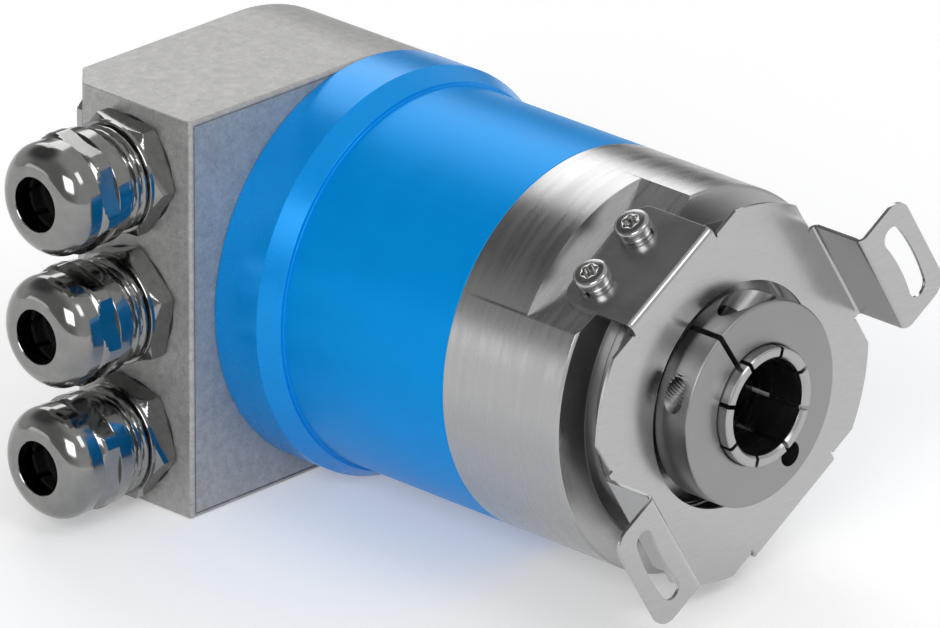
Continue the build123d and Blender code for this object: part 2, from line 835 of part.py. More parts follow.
with BuildPart() as turn_gear_2:
    extrude(gear(centred(second_axle, second_gears_y), wheel_teeth, half_pitch), amount=-gear_width)
    hub_start = second_gears_y - gear_float / 2
    hub = discs(centred(second_axle, hub_start), [(0, 0)], magnet_r)
    extrude(hub, amount=hub_start - magnets_y)
    axle_hole = discs(centred(second_axle, hub_start), [(0, 0)], axle_r + running_gap)
    extrude(axle_hole, amount=hub_start - magnets_y, mode=Mode.SUBTRACT)
keep(turn_gear_2, "turn_gear_2")

for number, axle in ((1, first_axle), (2, second_axle)):
    with BuildPart() as turn_magnet:
        extrude(ring_at(centred(axle, magnets_y), axle_r + running_gap, magnet_r), amount=-magnet_height)
    keep(turn_magnet, f"turn_magnet_{number}")

# Socket on the counter board and the plug that reaches it from the adaptor
plug_mouth = counter_rear + socket_height
tongue_width = plug_width - 4
tongue_thickness = plug_thickness / 2
tongue_length = socket_height - 1.5
with BuildPart() as board_socket:
    extrude(blocks(section(counter_rear), [(0, 0)], plug_width, plug_thickness), amount=-socket_height)
    slot = blocks(section(plug_mouth), [(0, 0)], tongue_width + 0.4, tongue_thickness + 0.4)
    extrude(slot, amount=tongue_length + 0.3, mode=Mode.SUBTRACT)
keep(board_socket, "board_socket")

with BuildPart() as adaptor_plug:
    plug_length = adaptor_board_y - plug_mouth
    extrude(blocks(section(plug_mouth), [(0, 0)], plug_width, plug_thickness), amount=-plug_length)
    extrude(blocks(section(plug_mouth), [(0, 0)], tongue_width, tongue_thickness), amount=tongue_length)
keep(adaptor_plug, "adaptor_plug")


# Adaptor box: a D-shaped casting with a chamfered rear corner, bosses, posts and three gland holes
def d_shape(y, reach, radius, corner=0):
    """D-shape on a section: half round towards +X, square towards -X, its two corners cut."""
    with BuildSketch(section(y)) as shape:
        Circle(radius)
        with Locations((-reach / 2, 0)):
            Rectangle(reach, 2 * radius)
        if corner:
            chamfer(shape.vertices().group_by(Axis.X)[0], corner)
    return shape.sketch


def lid_shape(y, inset):
    """Outline of the lid, drawn in evenly by the inset."""
    return d_shape(y, lid_reach - inset, lid_r - inset, lid_corner - 0.586 * inset)


def lid_groove(builder_y, length, slack):
    """Band that the lid seal lies in, as a ring of constant width."""
    with BuildPart() as ring:
        extrude(lid_shape(builder_y, seal_groove_inset + slack), amount=length)
        inner = lid_shape(builder_y, seal_groove_inset + seal_groove_width - slack)
        extrude(inner, amount=length, mode=Mode.SUBTRACT)
    return ring.part


groove_band = lid_groove(adaptor_rear, seal_groove_depth, 0)
box_seal_r = collar_r - 3.5
with BuildPart() as adaptor_box:
    extrude(d_shape(adaptor_y, adaptor_reach, adaptor_r), amount=-adaptor_depth)
    front_edges = adaptor_box.edges().filter_by(GeomType.LINE).group_by(Axis.Y)[0]
    chamfer(front_edges, adaptor_edge)
    corner = (-adaptor_reach, adaptor_rear)
    corner_points = (corner, (corner[0] + corner_cut, corner[1]), (corner[0], corner[1] - corner_cut))
    extrude(outline(Plane.XY, *corner_points), amount=2 * adaptor_r, both=True, mode=Mode.SUBTRACT)
    cavity_r = adaptor_r - adaptor_wall
    cavity = d_shape(adaptor_inside, adaptor_reach - gland_wall, cavity_r, cavity_corner)
    extrude(cavity, amount=adaptor_inside - adaptor_rear, mode=Mode.SUBTRACT)
    extrude(discs(section(adaptor_inside), lid_screw_places, lid_boss_r), amount=adaptor_inside - adaptor_rear)
    extrude(discs(section(adaptor_inside), adaptor_post_places, adaptor_post_r), amount=-adaptor_board_lift)
    lid_holes = discs(section(adaptor_rear), lid_screw_places, lid_screw_r + seat_gap)
    extrude(lid_holes, amount=lid_screw_length, mode=Mode.SUBTRACT)
    box_holes = discs(section(adaptor_y), floor_places, screw_r + 0.15)
    extrude(box_holes, amount=-adaptor_floor, mode=Mode.SUBTRACT)
    window = blocks(section(adaptor_y), [(0, 0)], plug_window_x, plug_window_z)
    extrude(window, amount=-adaptor_floor, mode=Mode.SUBTRACT)
    seal_seat = ring_at(section(adaptor_y), box_seal_r - seal_groove_width, box_seal_r)
    extrude(seal_seat, amount=-seal_groove_depth, mode=Mode.SUBTRACT)
    add(groove_band, mode=Mode.SUBTRACT)
    for z in gland_heights:
        entry = discs(gland_section(z, 0), [(0, 0)], entry_r + thread_gap)
        extrude(entry, amount=-gland_wall, mode=Mode.SUBTRACT)
keep(adaptor_box, "adaptor_box")

with BuildPart() as adaptor_gasket:
    gasket_ring = ring_at(section(adaptor_y), box_seal_r - seal_groove_width + seat_gap, box_seal_r - seat_gap)
    extrude(gasket_ring, amount=seat_gap - seal_groove_depth)
keep(adaptor_gasket, "adaptor_gasket")

with BuildPart() as adaptor_screws:
    extrude(discs(section(adaptor_inside), floor_places, screw_r - running_gap), amount=adaptor_screw_length)
    extrude(discs(section(adaptor_inside), floor_places, screw_head_r), amount=-screw_head_height)
    extrude(
        discs(section(adaptor_inside + screw_head_height), floor_places, socket_r),
        amount=socket_depth,
        mode=Mode.SUBTRACT,
    )
keep(adaptor_screws, "adaptor_screws")

# Adaptor electronics: the board, the terminal blocks, and two address switches with dials that turn
with BuildPart() as adaptor_board:
    board_middle = (adaptor_board_right - adaptor_board_left) / 2
    board_width = adaptor_board_right + adaptor_board_left
    with BuildSketch(section(adaptor_board_y)):
        with Locations((board_middle, 0)):
            Rectangle(board_width, 2 * adaptor_board_half)
        with Locations(*adaptor_post_places):
            Circle(lid_screw_r, mode=Mode.SUBTRACT)
    extrude(amount=-board_thickness)
keep(adaptor_board, "adaptor_board")

with BuildPart() as terminal_blocks:
    blocks_area = blocks(section(adaptor_board_rear), terminal_places, terminal_depth, terminal_width)
    extrude(blocks_area, amount=-terminal_height)
    for x, z in terminal_places:
        for side in (-1, 1):
            wire = Plane(
                origin=(x - terminal_depth / 2, adaptor_board_rear + 3, z + side * terminal_width / 4),
                x_dir=(0, 1, 0),
                z_dir=(1, 0, 0),
            )
            extrude(discs(wire, [(0, 0)], 1.5), amount=terminal_depth / 2, mode=Mode.SUBTRACT)
            screw_top = section(adaptor_board_rear + terminal_height)
            head = discs(screw_top, [(x, z + side * terminal_width / 4)], 1.8)
            extrude(head, amount=1.5, mode=Mode.SUBTRACT)
keep(terminal_blocks, "terminal_blocks")

dial_seat = adaptor_board_rear + switch_height
with BuildPart() as switch_bodies:
    extrude(blocks(section(adaptor_board_rear), switch_places, switch_size, switch_size), amount=-switch_height)
    recess = discs(section(dial_seat), switch_places, dial_r + 0.3)
    extrude(recess, amount=dial_height, mode=Mode.SUBTRACT)
keep(switch_bodies, "switch_bodies")

for name, place in zip(("tens", "units"), switch_places):
    with BuildPart() as dial:
        extrude(discs(section(dial_seat), [place], dial_r), amount=dial_height - 0.1)
        arrow = blocks(section(dial_seat), [place], dial_r * 1.5, 0.8)
        extrude(arrow, amount=dial_height / 2, mode=Mode.SUBTRACT)
        head = blocks(section(dial_seat), [(place[0] + dial_r / 2, place[1])], 0.9, 1.8)
        extrude(head, amount=dial_height / 2, mode=Mode.SUBTRACT)
    keep(dial, f"address_dial_{name}")

# Rear cover, its seal and its countersunk screws
lid_rear = adaptor_rear + lid_thickness
with BuildPart() as rear_cover:
    extrude(lid_shape(adaptor_rear, 0), amount=-lid_thickness)
    for x, z in lid_screw_places:
        place = Plane(origin=(x, 0, z), x_dir=(1, 0, 0), z_dir=(0, 0, 1))
        sink = outline(
            place,
            (0, adaptor_rear),
            (lid_screw_r + 0.1, adaptor_rear),
            (lid_head_r + 0.1, lid_rear),
            (0, lid_rear),
        )
        revolve(sink, axis=Axis(place.origin, place.y_dir), mode=Mode.SUBTRACT)
keep(rear_cover, "rear_cover")

seal_band = lid_groove(adaptor_rear, seal_groove_depth - seat_gap, seat_gap)
with BuildPart() as rear_cover_gasket:
    add(seal_band)
keep(rear_cover_gasket, "rear_cover_gasket")

with BuildPart() as rear_cover_screws:
    for x, z in lid_screw_places:
        place = Plane(origin=(x, 0, z), x_dir=(1, 0, 0), z_dir=(0, 0, 1))
        lid_screw = outline(
            place,
            (0, adaptor_rear - lid_screw_length + 0.5),
            (lid_screw_r - running_gap, adaptor_rear - lid_screw_length + 0.5),
            (lid_screw_r - running_gap, adaptor_rear),
            (lid_head_r, lid_rear),
            (0, lid_rear),
        )
        revolve(lid_screw, axis=Axis(place.origin, place.y_dir))
    with BuildSketch(section(lid_rear)):
        with Locations(*lid_screw_places):
            RegularPolygon(socket_r, 6)
    extrude(amount=lid_thickness / 2, mode=Mode.SUBTRACT)
keep(rear_cover_screws, "rear_cover_screws")

# Cable glands: a body with its entry thread, clamping fingers around a seal, and a domed cap nut
with BuildPart() as gland_bodies:
    for z, turn in zip(gland_heights, gland_turns):
        axis = Axis((-adaptor_reach, gland_y, z), (-1, 0, 0))
        hex_corner = gland_hex / math.sqrt(3)
        with BuildSketch(gland_section(z, gland_hex_start, turn)) as hex_area:
            RegularPolygon(gland_hex / 2, 6, major_radius=False)
        hex_block = extrude(hex_area.sketch, amount=gland_hex_end - gland_hex_start, mode=Mode.PRIVATE)
        hex_turned = outline(
            gland_profile(z),
            (0, gland_hex_start),
            (hex_corner, gland_hex_start),
            (hex_corner, gland_hex_end - gland_hex_chamfer),
            (gland_collar_r, gland_hex_end),
            (0, gland_hex_end),
        )
        add(hex_block & revolve(hex_turned, axis=axis, mode=Mode.PRIVATE))
        body_profile = outline(
            gland_profile(z),
            (entry_bore_r, -gland_wall),
            (entry_r, -gland_wall),
            (entry_r, gland_hex_start),
            (gland_collar_r, gland_hex_start),
            (gland_collar_r, gland_collar_end),
            (gland_neck_r, gland_collar_end),
            (gland_neck_r, gland_neck_end),
            (finger_cage_r + thread_gap, gland_neck_end),
            (finger_cage_r + thread_gap, cage_seat),
            (entry_bore_r, cage_seat),
        )
        revolve(body_profile, axis=axis)
        through = discs(gland_section(z, -gland_wall), [(0, 0)], entry_bore_r)
        extrude(through, amount=gland_wall + cage_seat, mode=Mode.SUBTRACT)
        pocket = discs(gland_section(z, cage_seat), [(0, 0)], finger_cage_r + thread_gap)
        extrude(pocket, amount=gland_neck_end - cage_seat, mode=Mode.SUBTRACT)
keep(gland_bodies, "gland_bodies")

with BuildPart() as gland_o_rings:
    for z in gland_heights:
        seal_ring = ring_at(gland_section(z, 0), entry_r + thread_gap, gland_collar_r - 0.1)
        extrude(seal_ring, amount=gland_hex_start)
keep(gland_o_rings, "gland_o_rings")

with BuildPart() as gland_seals:
    seal_r_out = finger_cage_r - finger_cage_wall - 0.3
    for z in gland_heights:
        tube = ring_at(gland_section(z, finger_cage_start), seal_r_out - gland_seal_wall, seal_r_out)
        extrude(tube, amount=gland_seal_end - finger_cage_start)
        foot = ring_at(gland_section(z, cage_seat), seal_r_out - gland_seal_wall, finger_cage_r)
        extrude(foot, amount=finger_cage_start - cage_seat - 0.95)
        neck = ring_at(gland_section(z, cage_seat), seal_r_out - gland_seal_wall, seal_r_out)
        extrude(neck, amount=finger_cage_start - cage_seat)
keep(gland_seals, "gland_seals")


def finger_cage(z, name):
    """Tube whose outer end is slit into fingers that the cap presses inwards."""
    axis = Axis((-adaptor_reach, gland_y, z), (-1, 0, 0))
    with BuildPart() as cage:
        cage_profile = outline(
            gland_profile(z),
            (finger_cage_r - finger_cage_wall, finger_cage_start),
            (finger_cage_r, finger_cage_start),
            (finger_cage_r, finger_cage_end - 2.4),
            (finger_tip_r, finger_cage_end),
            (finger_tip_r - 0.6, finger_cage_end),
            (finger_cage_r - finger_cage_wall, finger_cage_end - 2.4),
        )
        revolve(cage_profile, axis=axis)
        slit_start = gland_seal_end - 2
        with BuildSketch(gland_section(z, slit_start)):
            for turn in (0, 45, 90, 135):
                with Locations(Location((0, 0), turn)):
                    Rectangle(3 * finger_cage_r, finger_slot)
        extrude(amount=finger_cage_end - slit_start, mode=Mode.SUBTRACT)
    keep(cage, name)


def gland_cap(z, turn, name):
    """Cap nut: threaded skirt, hexagon with turned corners, and a dome that rounds over to the cable hole."""
    axis = Axis((-adaptor_reach, gland_y, z), (-1, 0, 0))
    with BuildSketch(gland_profile(z)) as dome_face:
        with BuildLine():
            rim = cap_dome_start
            Line((0, cap_start), (cap_skirt_r, cap_start))
            Line((cap_skirt_r, cap_start), (cap_skirt_r, cap_hex_start))
            Line((cap_skirt_r, cap_hex_start), (cap_corner_r, cap_hex_start + 0.3))
            Line((cap_corner_r, cap_hex_start + 0.3), (cap_corner_r, cap_hex_end))
            Line((cap_corner_r, cap_hex_end), (cap_dome_r, cap_hex_end + 0.5))
            Line((cap_dome_r, cap_hex_end + 0.5), (cap_dome_r, rim))
            TangentArc((cap_dome_r, rim), (cap_face_r, cap_length), tangent=(0, 1))
            Line((cap_face_r, cap_length), (0, cap_length))
            Line((0, cap_length), (0, cap_start))
        make_face()
    with BuildPart() as cap:
        revolve(dome_face.sketch, axis=axis)
        with BuildSketch(gland_section(z, cap_hex_start + 0.15, turn)) as flats:
            Circle(2 * cap_corner_r)
            RegularPolygon(cap_hex / 2, 6, major_radius=False, mode=Mode.SUBTRACT)
        extrude(flats.sketch, amount=cap_hex_end - cap_hex_start, mode=Mode.SUBTRACT)
        thread_r = gland_neck_r + thread_gap
        inside_end = cap_hex_end + 0.4
        inside = outline(
            gland_profile(z),
            (0, cap_start),
            (thread_r, cap_start),
            (thread_r, inside_end),
            (finger_cage_r + 0.35, inside_end),
            (cap_hole_r, inside_end + 3.3),
            (cap_hole_r, cap_length),
            (0, cap_length),
        )
        revolve(inside, axis=axis, mode=Mode.SUBTRACT)
    keep(cap, name)


for number, (z, turn) in enumerate(zip(gland_heights, cap_turns), 1):
    finger_cage(z, f"gland_cage_{number}")
    gland_cap(z, turn, f"gland_cap_{number}")
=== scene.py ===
import json
import math

import bmesh
import bpy
import numpy as np
from mathutils import Matrix, Vector


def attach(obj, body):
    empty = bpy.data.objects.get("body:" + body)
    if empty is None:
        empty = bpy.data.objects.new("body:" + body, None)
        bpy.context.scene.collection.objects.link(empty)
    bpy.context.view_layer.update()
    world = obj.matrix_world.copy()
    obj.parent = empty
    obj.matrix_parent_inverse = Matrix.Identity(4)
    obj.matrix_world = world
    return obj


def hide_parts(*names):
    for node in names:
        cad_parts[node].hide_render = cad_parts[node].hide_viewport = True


# The encoder's looks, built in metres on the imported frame.
# The shaft axis is Y and the bore's mouth is the origin. Sizes are typed in mm and angles in degrees.
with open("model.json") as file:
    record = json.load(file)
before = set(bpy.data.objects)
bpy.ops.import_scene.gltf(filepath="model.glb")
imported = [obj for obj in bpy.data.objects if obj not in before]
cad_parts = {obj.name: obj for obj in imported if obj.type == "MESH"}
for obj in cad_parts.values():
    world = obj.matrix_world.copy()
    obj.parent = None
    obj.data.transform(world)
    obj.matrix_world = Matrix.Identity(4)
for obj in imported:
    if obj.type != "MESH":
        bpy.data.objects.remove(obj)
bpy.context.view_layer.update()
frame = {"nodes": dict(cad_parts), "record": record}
MM = 0.001
QUARTER = math.pi / 2


# Mesh tools
def in_scene(name, data):
    """New object in the scene, at the origin."""
    obj = bpy.data.objects.new(name, data)
    bpy.context.scene.collection.objects.link(obj)
    return obj


def turn_outwards(mesh, merge=0.0):
    """Turns a mesh's faces outwards, after merging points closer than a distance in metres."""
    bm = bmesh.new()
    bm.from_mesh(mesh)
    if merge:
        bmesh.ops.remove_doubles(bm, verts=bm.verts, dist=merge)
    bmesh.ops.recalc_face_normals(bm, faces=bm.faces)
    bm.to_mesh(mesh)
    bm.free()


def piece_from(name, verts, faces):
    """New object from points in metres, with doubles merged and its faces turned outwards."""
    mesh = bpy.data.meshes.new(name)
    mesh.from_pydata([tuple(v) for v in verts], [], [tuple(f) for f in faces])
    turn_outwards(mesh, 1e-7)
    return in_scene(name, mesh)


def quads(first, second, count):
    """Faces between two closed loops of points, given where each loop starts."""
    steps = [(i, (i + 1) % count) for i in range(count)]
    return [(first + i, first + n, second + n, second + i) for i, n in steps]


def axis_frame(origin, along, side):
    """Matrix whose Z runs along an axis and whose X is the side from which angles are counted."""
    z = Vector(along).normalized()
    x = (Vector(side) - z * Vector(side).dot(z)).normalized()
    y = z.cross(x)
    m = Matrix((x, y, z)).transposed().to_4x4()
    m.translation = Vector(origin) * MM
    return m


def shifted(place, x, y=0):
    """Place moved across its own axis, in mm."""
    return place @ Matrix.Translation((x * MM, y * MM, 0))


SHAFT = axis_frame((0, 0, 0), (0, 1, 0), (1, 0, 0))
UPRIGHT = Matrix.Identity(4)


def turned(name, rows, place=SHAFT, steps=288):
    """Turned body from (radius, distance along the axis) rows. A radius may be a function of the angle."""
    angles = np.linspace(0, 2 * np.pi, steps, endpoint=False)
    rings = []
    for radius, along in rows:
        r = radius(angles) if callable(radius) else np.full(steps, float(radius))
        rings.append(np.c_[r * np.cos(angles), r * np.sin(angles), np.full(steps, float(along))] * MM)
    points = np.concatenate(rings)
    m = np.array(place)
    points = points @ m[:3, :3].T + m[:3, 3]
    faces = []
    for i in range(len(rows)):
        faces += quads(i * steps, (i + 1) % len(rows) * steps, steps)
    return piece_from(name, points, faces)


STRAIGHT = math.radians(160)  # a corner flatter than this stays as it is
EDGE_SHARE = 0.45  # the most that one corner's rounding takes of an edge


def eased(points, radius, steps=3):
    """Closed profile with each corner rounded to the radius, or less where its edges are short."""
    out = []
    count = len(points)
    for i in range(count):
        p, q, r = (Vector(points[(i + k) % count]) for k in (-1, 0, 1))
        a, b = p - q, r - q
        if a.length < 1e-6 or b.length < 1e-6:
            continue
        if q.x < 1e-6 or a.angle(b) > STRAIGHT:
            out.append(tuple(q))
            continue
        reach = min(radius / math.tan(a.angle(b) / 2), EDGE_SHARE * a.length, EDGE_SHARE * b.length)
        start, end = q + a.normalized() * reach, q + b.normalized() * reach
        for k in range(steps + 1):
            t = k / steps
            out.append(tuple(start * (1 - t) ** 2 + q * 2 * t * (1 - t) + end * t * t))
    return out


def settled(obj):
    """Applies every modifier of an object to its mesh."""
    graph = bpy.context.evaluated_depsgraph_get()
    graph.update()
    mesh = bpy.data.meshes.new_from_object(obj.evaluated_get(graph))
    old = obj.data
    obj.modifiers.clear()
    obj.data = mesh
    if old.users == 0:
        bpy.data.meshes.remove(old)
    return obj


def cut(obj, tool, operation="DIFFERENCE"):
    """Cuts a tool body out of a piece, or joins it on, and removes the tool."""
    step = obj.modifiers.new("cut", "BOOLEAN")
    step.object = tool
    step.operation = operation
    step.solver = "EXACT"
    settled(obj)
    bpy.data.objects.remove(tool)
    return obj


def broken_edges(obj, width, angle, segments=2):
    """Breaks the sharp edges of a piece by a small rounding, in mm."""
    step = obj.modifiers.new("edge", "BEVEL")
    step.width = width * MM
    step.segments = segments
    step.limit_method = "ANGLE"
    step.angle_limit = math.radians(angle)
    step.use_clamp_overlap = True
    return settled(obj)


def prism(name, outline, start, end, place):
    """Straight body over a closed outline in mm, from start to end along the place's Z."""
    count = len(outline)
    points = [place @ Vector((x * MM, y * MM, h * MM)) for h in (start, end) for x, y in outline]
    faces = [tuple(range(count)), tuple(range(2 * count - 1, count - 1, -1))]
    faces += quads(0, count, count)
    return piece_from(name, points, faces)


def full_turn(steps):
    """Angles of equal steps round a circle, in radians."""
    return [2 * math.pi * k / steps for k in range(steps)]


def circle(radius, steps, centre=(0, 0)):
    """Points round a circle."""
    x, y = centre
    return [(x + radius * math.cos(t), y + radius * math.sin(t)) for t in full_turn(steps)]


def arc(centre, radius, start, end, steps):
    """Points on an arc between two angles in degrees."""
    turns = [math.radians(start + (end - start) * k / steps) for k in range(steps + 1)]
    return [(centre[0] + radius * math.cos(t), centre[1] + radius * math.sin(t)) for t in turns]


def rod(name, place, radius, start, end, steps=64):
    """Plain round body along the place's Z."""
    return prism(name, circle(radius, steps), start, end, place)


def dressed(obj, material, body, nodes, angle=32):
    """Gives a finished piece its shading, material, body and the CAD nodes that it stands for."""
    mesh = obj.data
    mesh.materials.clear()
    mesh.materials.append(material)
    mesh.polygons.foreach_set("material_index", [0] * len(mesh.polygons))
    mesh.polygons.foreach_set("use_smooth", [True] * len(mesh.polygons))
    mesh.set_sharp_from_angle(angle=math.radians(angle))
    step = obj.modifiers.new("normals", "WEIGHTED_NORMAL")
    step.keep_sharp = True
    step.weight = 80
    settled(obj)
    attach(obj, body)
    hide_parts(*nodes)
    return obj


# Shader groups
def socket_group(name, inputs, outputs):
    """Empty shader group with named inputs (name, kind, value) and outputs (name, kind)."""
    group = bpy.data.node_groups.new(name, "ShaderNodeTree")
    for label, kind, value in inputs:
        made = group.interface.new_socket(label, in_out="INPUT", socket_type=kind)
        made.default_value = value
    for label, kind in outputs:
        group.interface.new_socket(label, in_out="OUTPUT", socket_type=kind)
    start = group.nodes.new("NodeGroupInput")
    end = group.nodes.new("NodeGroupOutput")
    return group, start, end


def node(tree, kind, **settings):
    """New node with its properties and its sockets' values set by name or number."""
    made = tree.nodes.new(kind)
    for key, value in settings.items():
        if key.startswith("in_"):
            label = key[3:]
            socket = int(label) if label.isdigit() else label.replace("_", " ")
            made.inputs[socket].default_value = value
        else:
            setattr(made, key, value)
    return made


def join(tree, source, target):
    """Links one output socket to one input socket."""
    tree.links.new(source, target)


def lathe_marks_group():
    """Fine tool marks that run round the shaft axis: lines on cylinders, rings on faces."""
    group, start, end = socket_group(
        "lathe_marks",
        [("Scale", "NodeSocketFloat", 9000.0), ("Broad", "NodeSocketFloat", 900.0)],
        [("Lines", "NodeSocketFloat"), ("Cloud", "NodeSocketFloat")],
    )
    where = node(group, "ShaderNodeTexCoord")
    parts = node(group, "ShaderNodeSeparateXYZ")
    join(group, where.outputs["Object"], parts.inputs[0])
    flat = node(group, "ShaderNodeCombineXYZ")
    join(group, parts.outputs["X"], flat.inputs["X"])
    join(group, parts.outputs["Z"], flat.inputs["Y"])
    radius = node(group, "ShaderNodeVectorMath", operation="LENGTH")
    join(group, flat.outputs[0], radius.inputs[0])
    line = node(group, "ShaderNodeCombineXYZ")
    join(group, radius.outputs["Value"], line.inputs["X"])
    join(group, parts.outputs["Y"], line.inputs["Y"])
    fine = node(group, "ShaderNodeTexNoise", in_Detail=3.0, in_Roughness=0.7)
    join(group, line.outputs[0], fine.inputs["Vector"])
    join(group, start.outputs["Scale"], fine.inputs["Scale"])
    join(group, fine.outputs["Fac"], end.inputs["Lines"])
    broad = node(group, "ShaderNodeTexNoise", in_Detail=2.0)
    stretch = node(group, "ShaderNodeVectorMath", operation="MULTIPLY", in_1=(0.08, 1.0, 0.08))
    join(group, where.outputs["Object"], stretch.inputs[0])
    join(group, stretch.outputs[0], broad.inputs["Vector"])
    join(group, start.outputs["Broad"], broad.inputs["Scale"])
    join(group, broad.outputs["Fac"], end.inputs["Cloud"])
    return group


def speckle_group():
    """Tumbled casting: fine grain with a broader mottle."""
    group, start, end = socket_group(
        "cast_speckle",
        [("Grain", "NodeSocketFloat", 3500.0), ("Mottle", "NodeSocketFloat", 260.0)],
        [("Grain", "NodeSocketFloat"), ("Mottle", "NodeSocketFloat")],
    )
    where = node(group, "ShaderNodeTexCoord")
    for label, detail in (("Grain", 4.0), ("Mottle", 3.0)):
        noise = node(group, "ShaderNodeTexNoise", in_Detail=detail, in_Roughness=0.6)
        join(group, where.outputs["Object"], noise.inputs["Vector"])
        join(group, start.outputs[label], noise.inputs["Scale"])
        join(group, noise.outputs["Fac"], end.inputs[label])
    return group


def brushing_group():
    """Rolled or brushed sheet: long streaks along one direction, and a faint cloud."""
    group, start, end = socket_group(
        "brushing",
        [("Stretch", "NodeSocketVector", (1.0, 1.0, 1.0)), ("Scale", "NodeSocketFloat", 6000.0)],
        [("Streaks", "NodeSocketFloat"), ("Cloud", "NodeSocketFloat")],
    )
    where = node(group, "ShaderNodeTexCoord")
    pull = node(group, "ShaderNodeVectorMath", operation="MULTIPLY")
    join(group, where.outputs["Object"], pull.inputs[0])
    join(group, start.outputs["Stretch"], pull.inputs[1])
    streaks = node(group, "ShaderNodeTexNoise", in_Detail=3.0, in_Roughness=0.65)
    join(group, pull.outputs[0], streaks.inputs["Vector"])
    join(group, start.outputs["Scale"], streaks.inputs["Scale"])
    join(group, streaks.outputs["Fac"], end.inputs["Streaks"])
    cloud = node(group, "ShaderNodeTexNoise", in_Scale=240.0, in_Detail=3.0)
    join(group, where.outputs["Object"], cloud.inputs["Vector"])
    join(group, cloud.outputs["Fac"], end.inputs["Cloud"])
    return group


MARKS = lathe_marks_group()
SPECKLE = speckle_group()
BRUSHING = brushing_group()


def grouped(tree, group, **values):
    """A shader group placed in a material with its own values."""
    made = tree.nodes.new("ShaderNodeGroup")
    made.node_tree = group
    for key, value in values.items():
        made.inputs[key].default_value = value
    return made


MASK_LOW, MASK_HIGH = 0.3, 0.7


def ranged(tree, source, low, high):
    """Spreads a mask between two values."""
    spread = node(tree, "ShaderNodeMapRange", in_1=MASK_LOW, in_2=MASK_HIGH, in_3=low, in_4=high)
    join(tree, source, spread.inputs[0])
    return spread.outputs[0]


def ramped(tree, source, dark, light, low_from=MASK_LOW, high_from=MASK_HIGH):
    """Spreads a mask between two colours."""
    ramp = tree.nodes.new("ShaderNodeValToRGB")
    ramp.color_ramp.elements[0].position = low_from
    ramp.color_ramp.elements[1].position = high_from
    ramp.color_ramp.elements[0].color = (*dark, 1)
    ramp.color_ramp.elements[1].color = (*light, 1)
    join(tree, source, ramp.inputs[0])
    return ramp.outputs[0]


def combined(tree, operation, first, second):
    """One value from two, by the named operation."""
    made = node(tree, "ShaderNodeMath", operation=operation)
    join(tree, first, made.inputs[0])
    join(tree, second, made.inputs[1])
    return made.outputs[0]


def bumped(tree, shader, height, strength, distance):
    """Bump on a shader from a height mask."""
    bump = node(tree, "ShaderNodeBump", in_Strength=strength, in_Distance=distance)
    join(tree, height, bump.inputs["Height"])
    join(tree, bump.outputs[0], shader.inputs["Normal"])


def surfaced(tree, shader, tone, rough, relief=None):
    """Links a surface: tone and roughness as (mask, low, high), relief as (height, strength, distance)."""
    join(tree, ramped(tree, *tone), shader.inputs["Base Color"])
    join(tree, ranged(tree, *rough), shader.inputs["Roughness"])
    if relief:
        bumped(tree, shader, *relief)


def toned(colour, factor):
    """Colour made lighter or darker."""
    return tuple(min(1.0, c * factor) for c in colour)


def new_material(name, **settings):
    """Material with one Principled shader, its constant sockets set by name."""
    material = bpy.data.materials.new(name)
    material.use_nodes = True
    shader = material.node_tree.nodes["Principled BSDF"]
    for key, value in settings.items():
        shader.inputs[key.replace("_", " ")].default_value = value
    return material, material.node_tree, shader


def turned_metal(name, grey, rough, vary, depth, scale):
    """Turned metal with rings and lines from the tool."""
    material, tree, shader = new_material(name, Metallic=1.0)
    marks = grouped(tree, MARKS, Scale=scale).outputs
    base = (grey, grey, grey)
    tone = marks["Lines"], toned(base, 1 - vary), toned(base, 1 + vary)
    haze = marks["Cloud"], rough * 0.85, rough * 1.2
    surfaced(tree, shader, tone, haze, (marks["Lines"], depth, 0.00002))
    return material


def cast_metal(name, colour, rough):
    """Tumbled cast metal with a fine grain."""
    material, tree, shader = new_material(name, Metallic=0.5)
    speckle = grouped(tree, SPECKLE, Grain=2300.0, Mottle=700.0).outputs
    mix = node(tree, "ShaderNodeMath", operation="MULTIPLY_ADD", in_1=0.45)
    join(tree, speckle["Mottle"], mix.inputs[0])
    grain = node(tree, "ShaderNodeMath", operation="MULTIPLY", in_1=0.55)
    join(tree, speckle["Grain"], grain.inputs[0])
    join(tree, grain.outputs[0], mix.inputs[2])
    tone = mix.outputs[0], toned(colour, 0.80), toned(colour, 1.16), 0.36, 0.64
    haze = speckle["Grain"], rough * 0.8, rough * 1.2
    surfaced(tree, shader, tone, haze, (speckle["Grain"], 0.5, 0.00006))
    return material


def sheet_metal(name, grey, rough, stretch):
    """Rolled sheet with streaks along one direction."""
    material, tree, shader = new_material(name, Metallic=1.0)
    rolled = grouped(tree, BRUSHING, Stretch=stretch).outputs
    base = (grey, grey, grey)
    tone = rolled["Streaks"], toned(base, 0.94), toned(base, 1.06)
    haze = rolled["Cloud"], rough * 0.88, rough * 1.14
    surfaced(tree, shader, tone, haze, (rolled["Streaks"], 0.2, 0.00001))
    return material


def bright_metal(name, colour, rough):
    """Polished or plated metal with faint smears."""
    material, tree, shader = new_material(name, Metallic=1.0)
    mottle = grouped(tree, SPECKLE, Mottle=420.0).outputs["Mottle"]
    tone = mottle, toned(colour, 0.9), toned(colour, 1.06)
    surfaced(tree, shader, tone, (mottle, rough * 0.7, rough * 1.5), (mottle, 0.06, 0.0001))
    return material


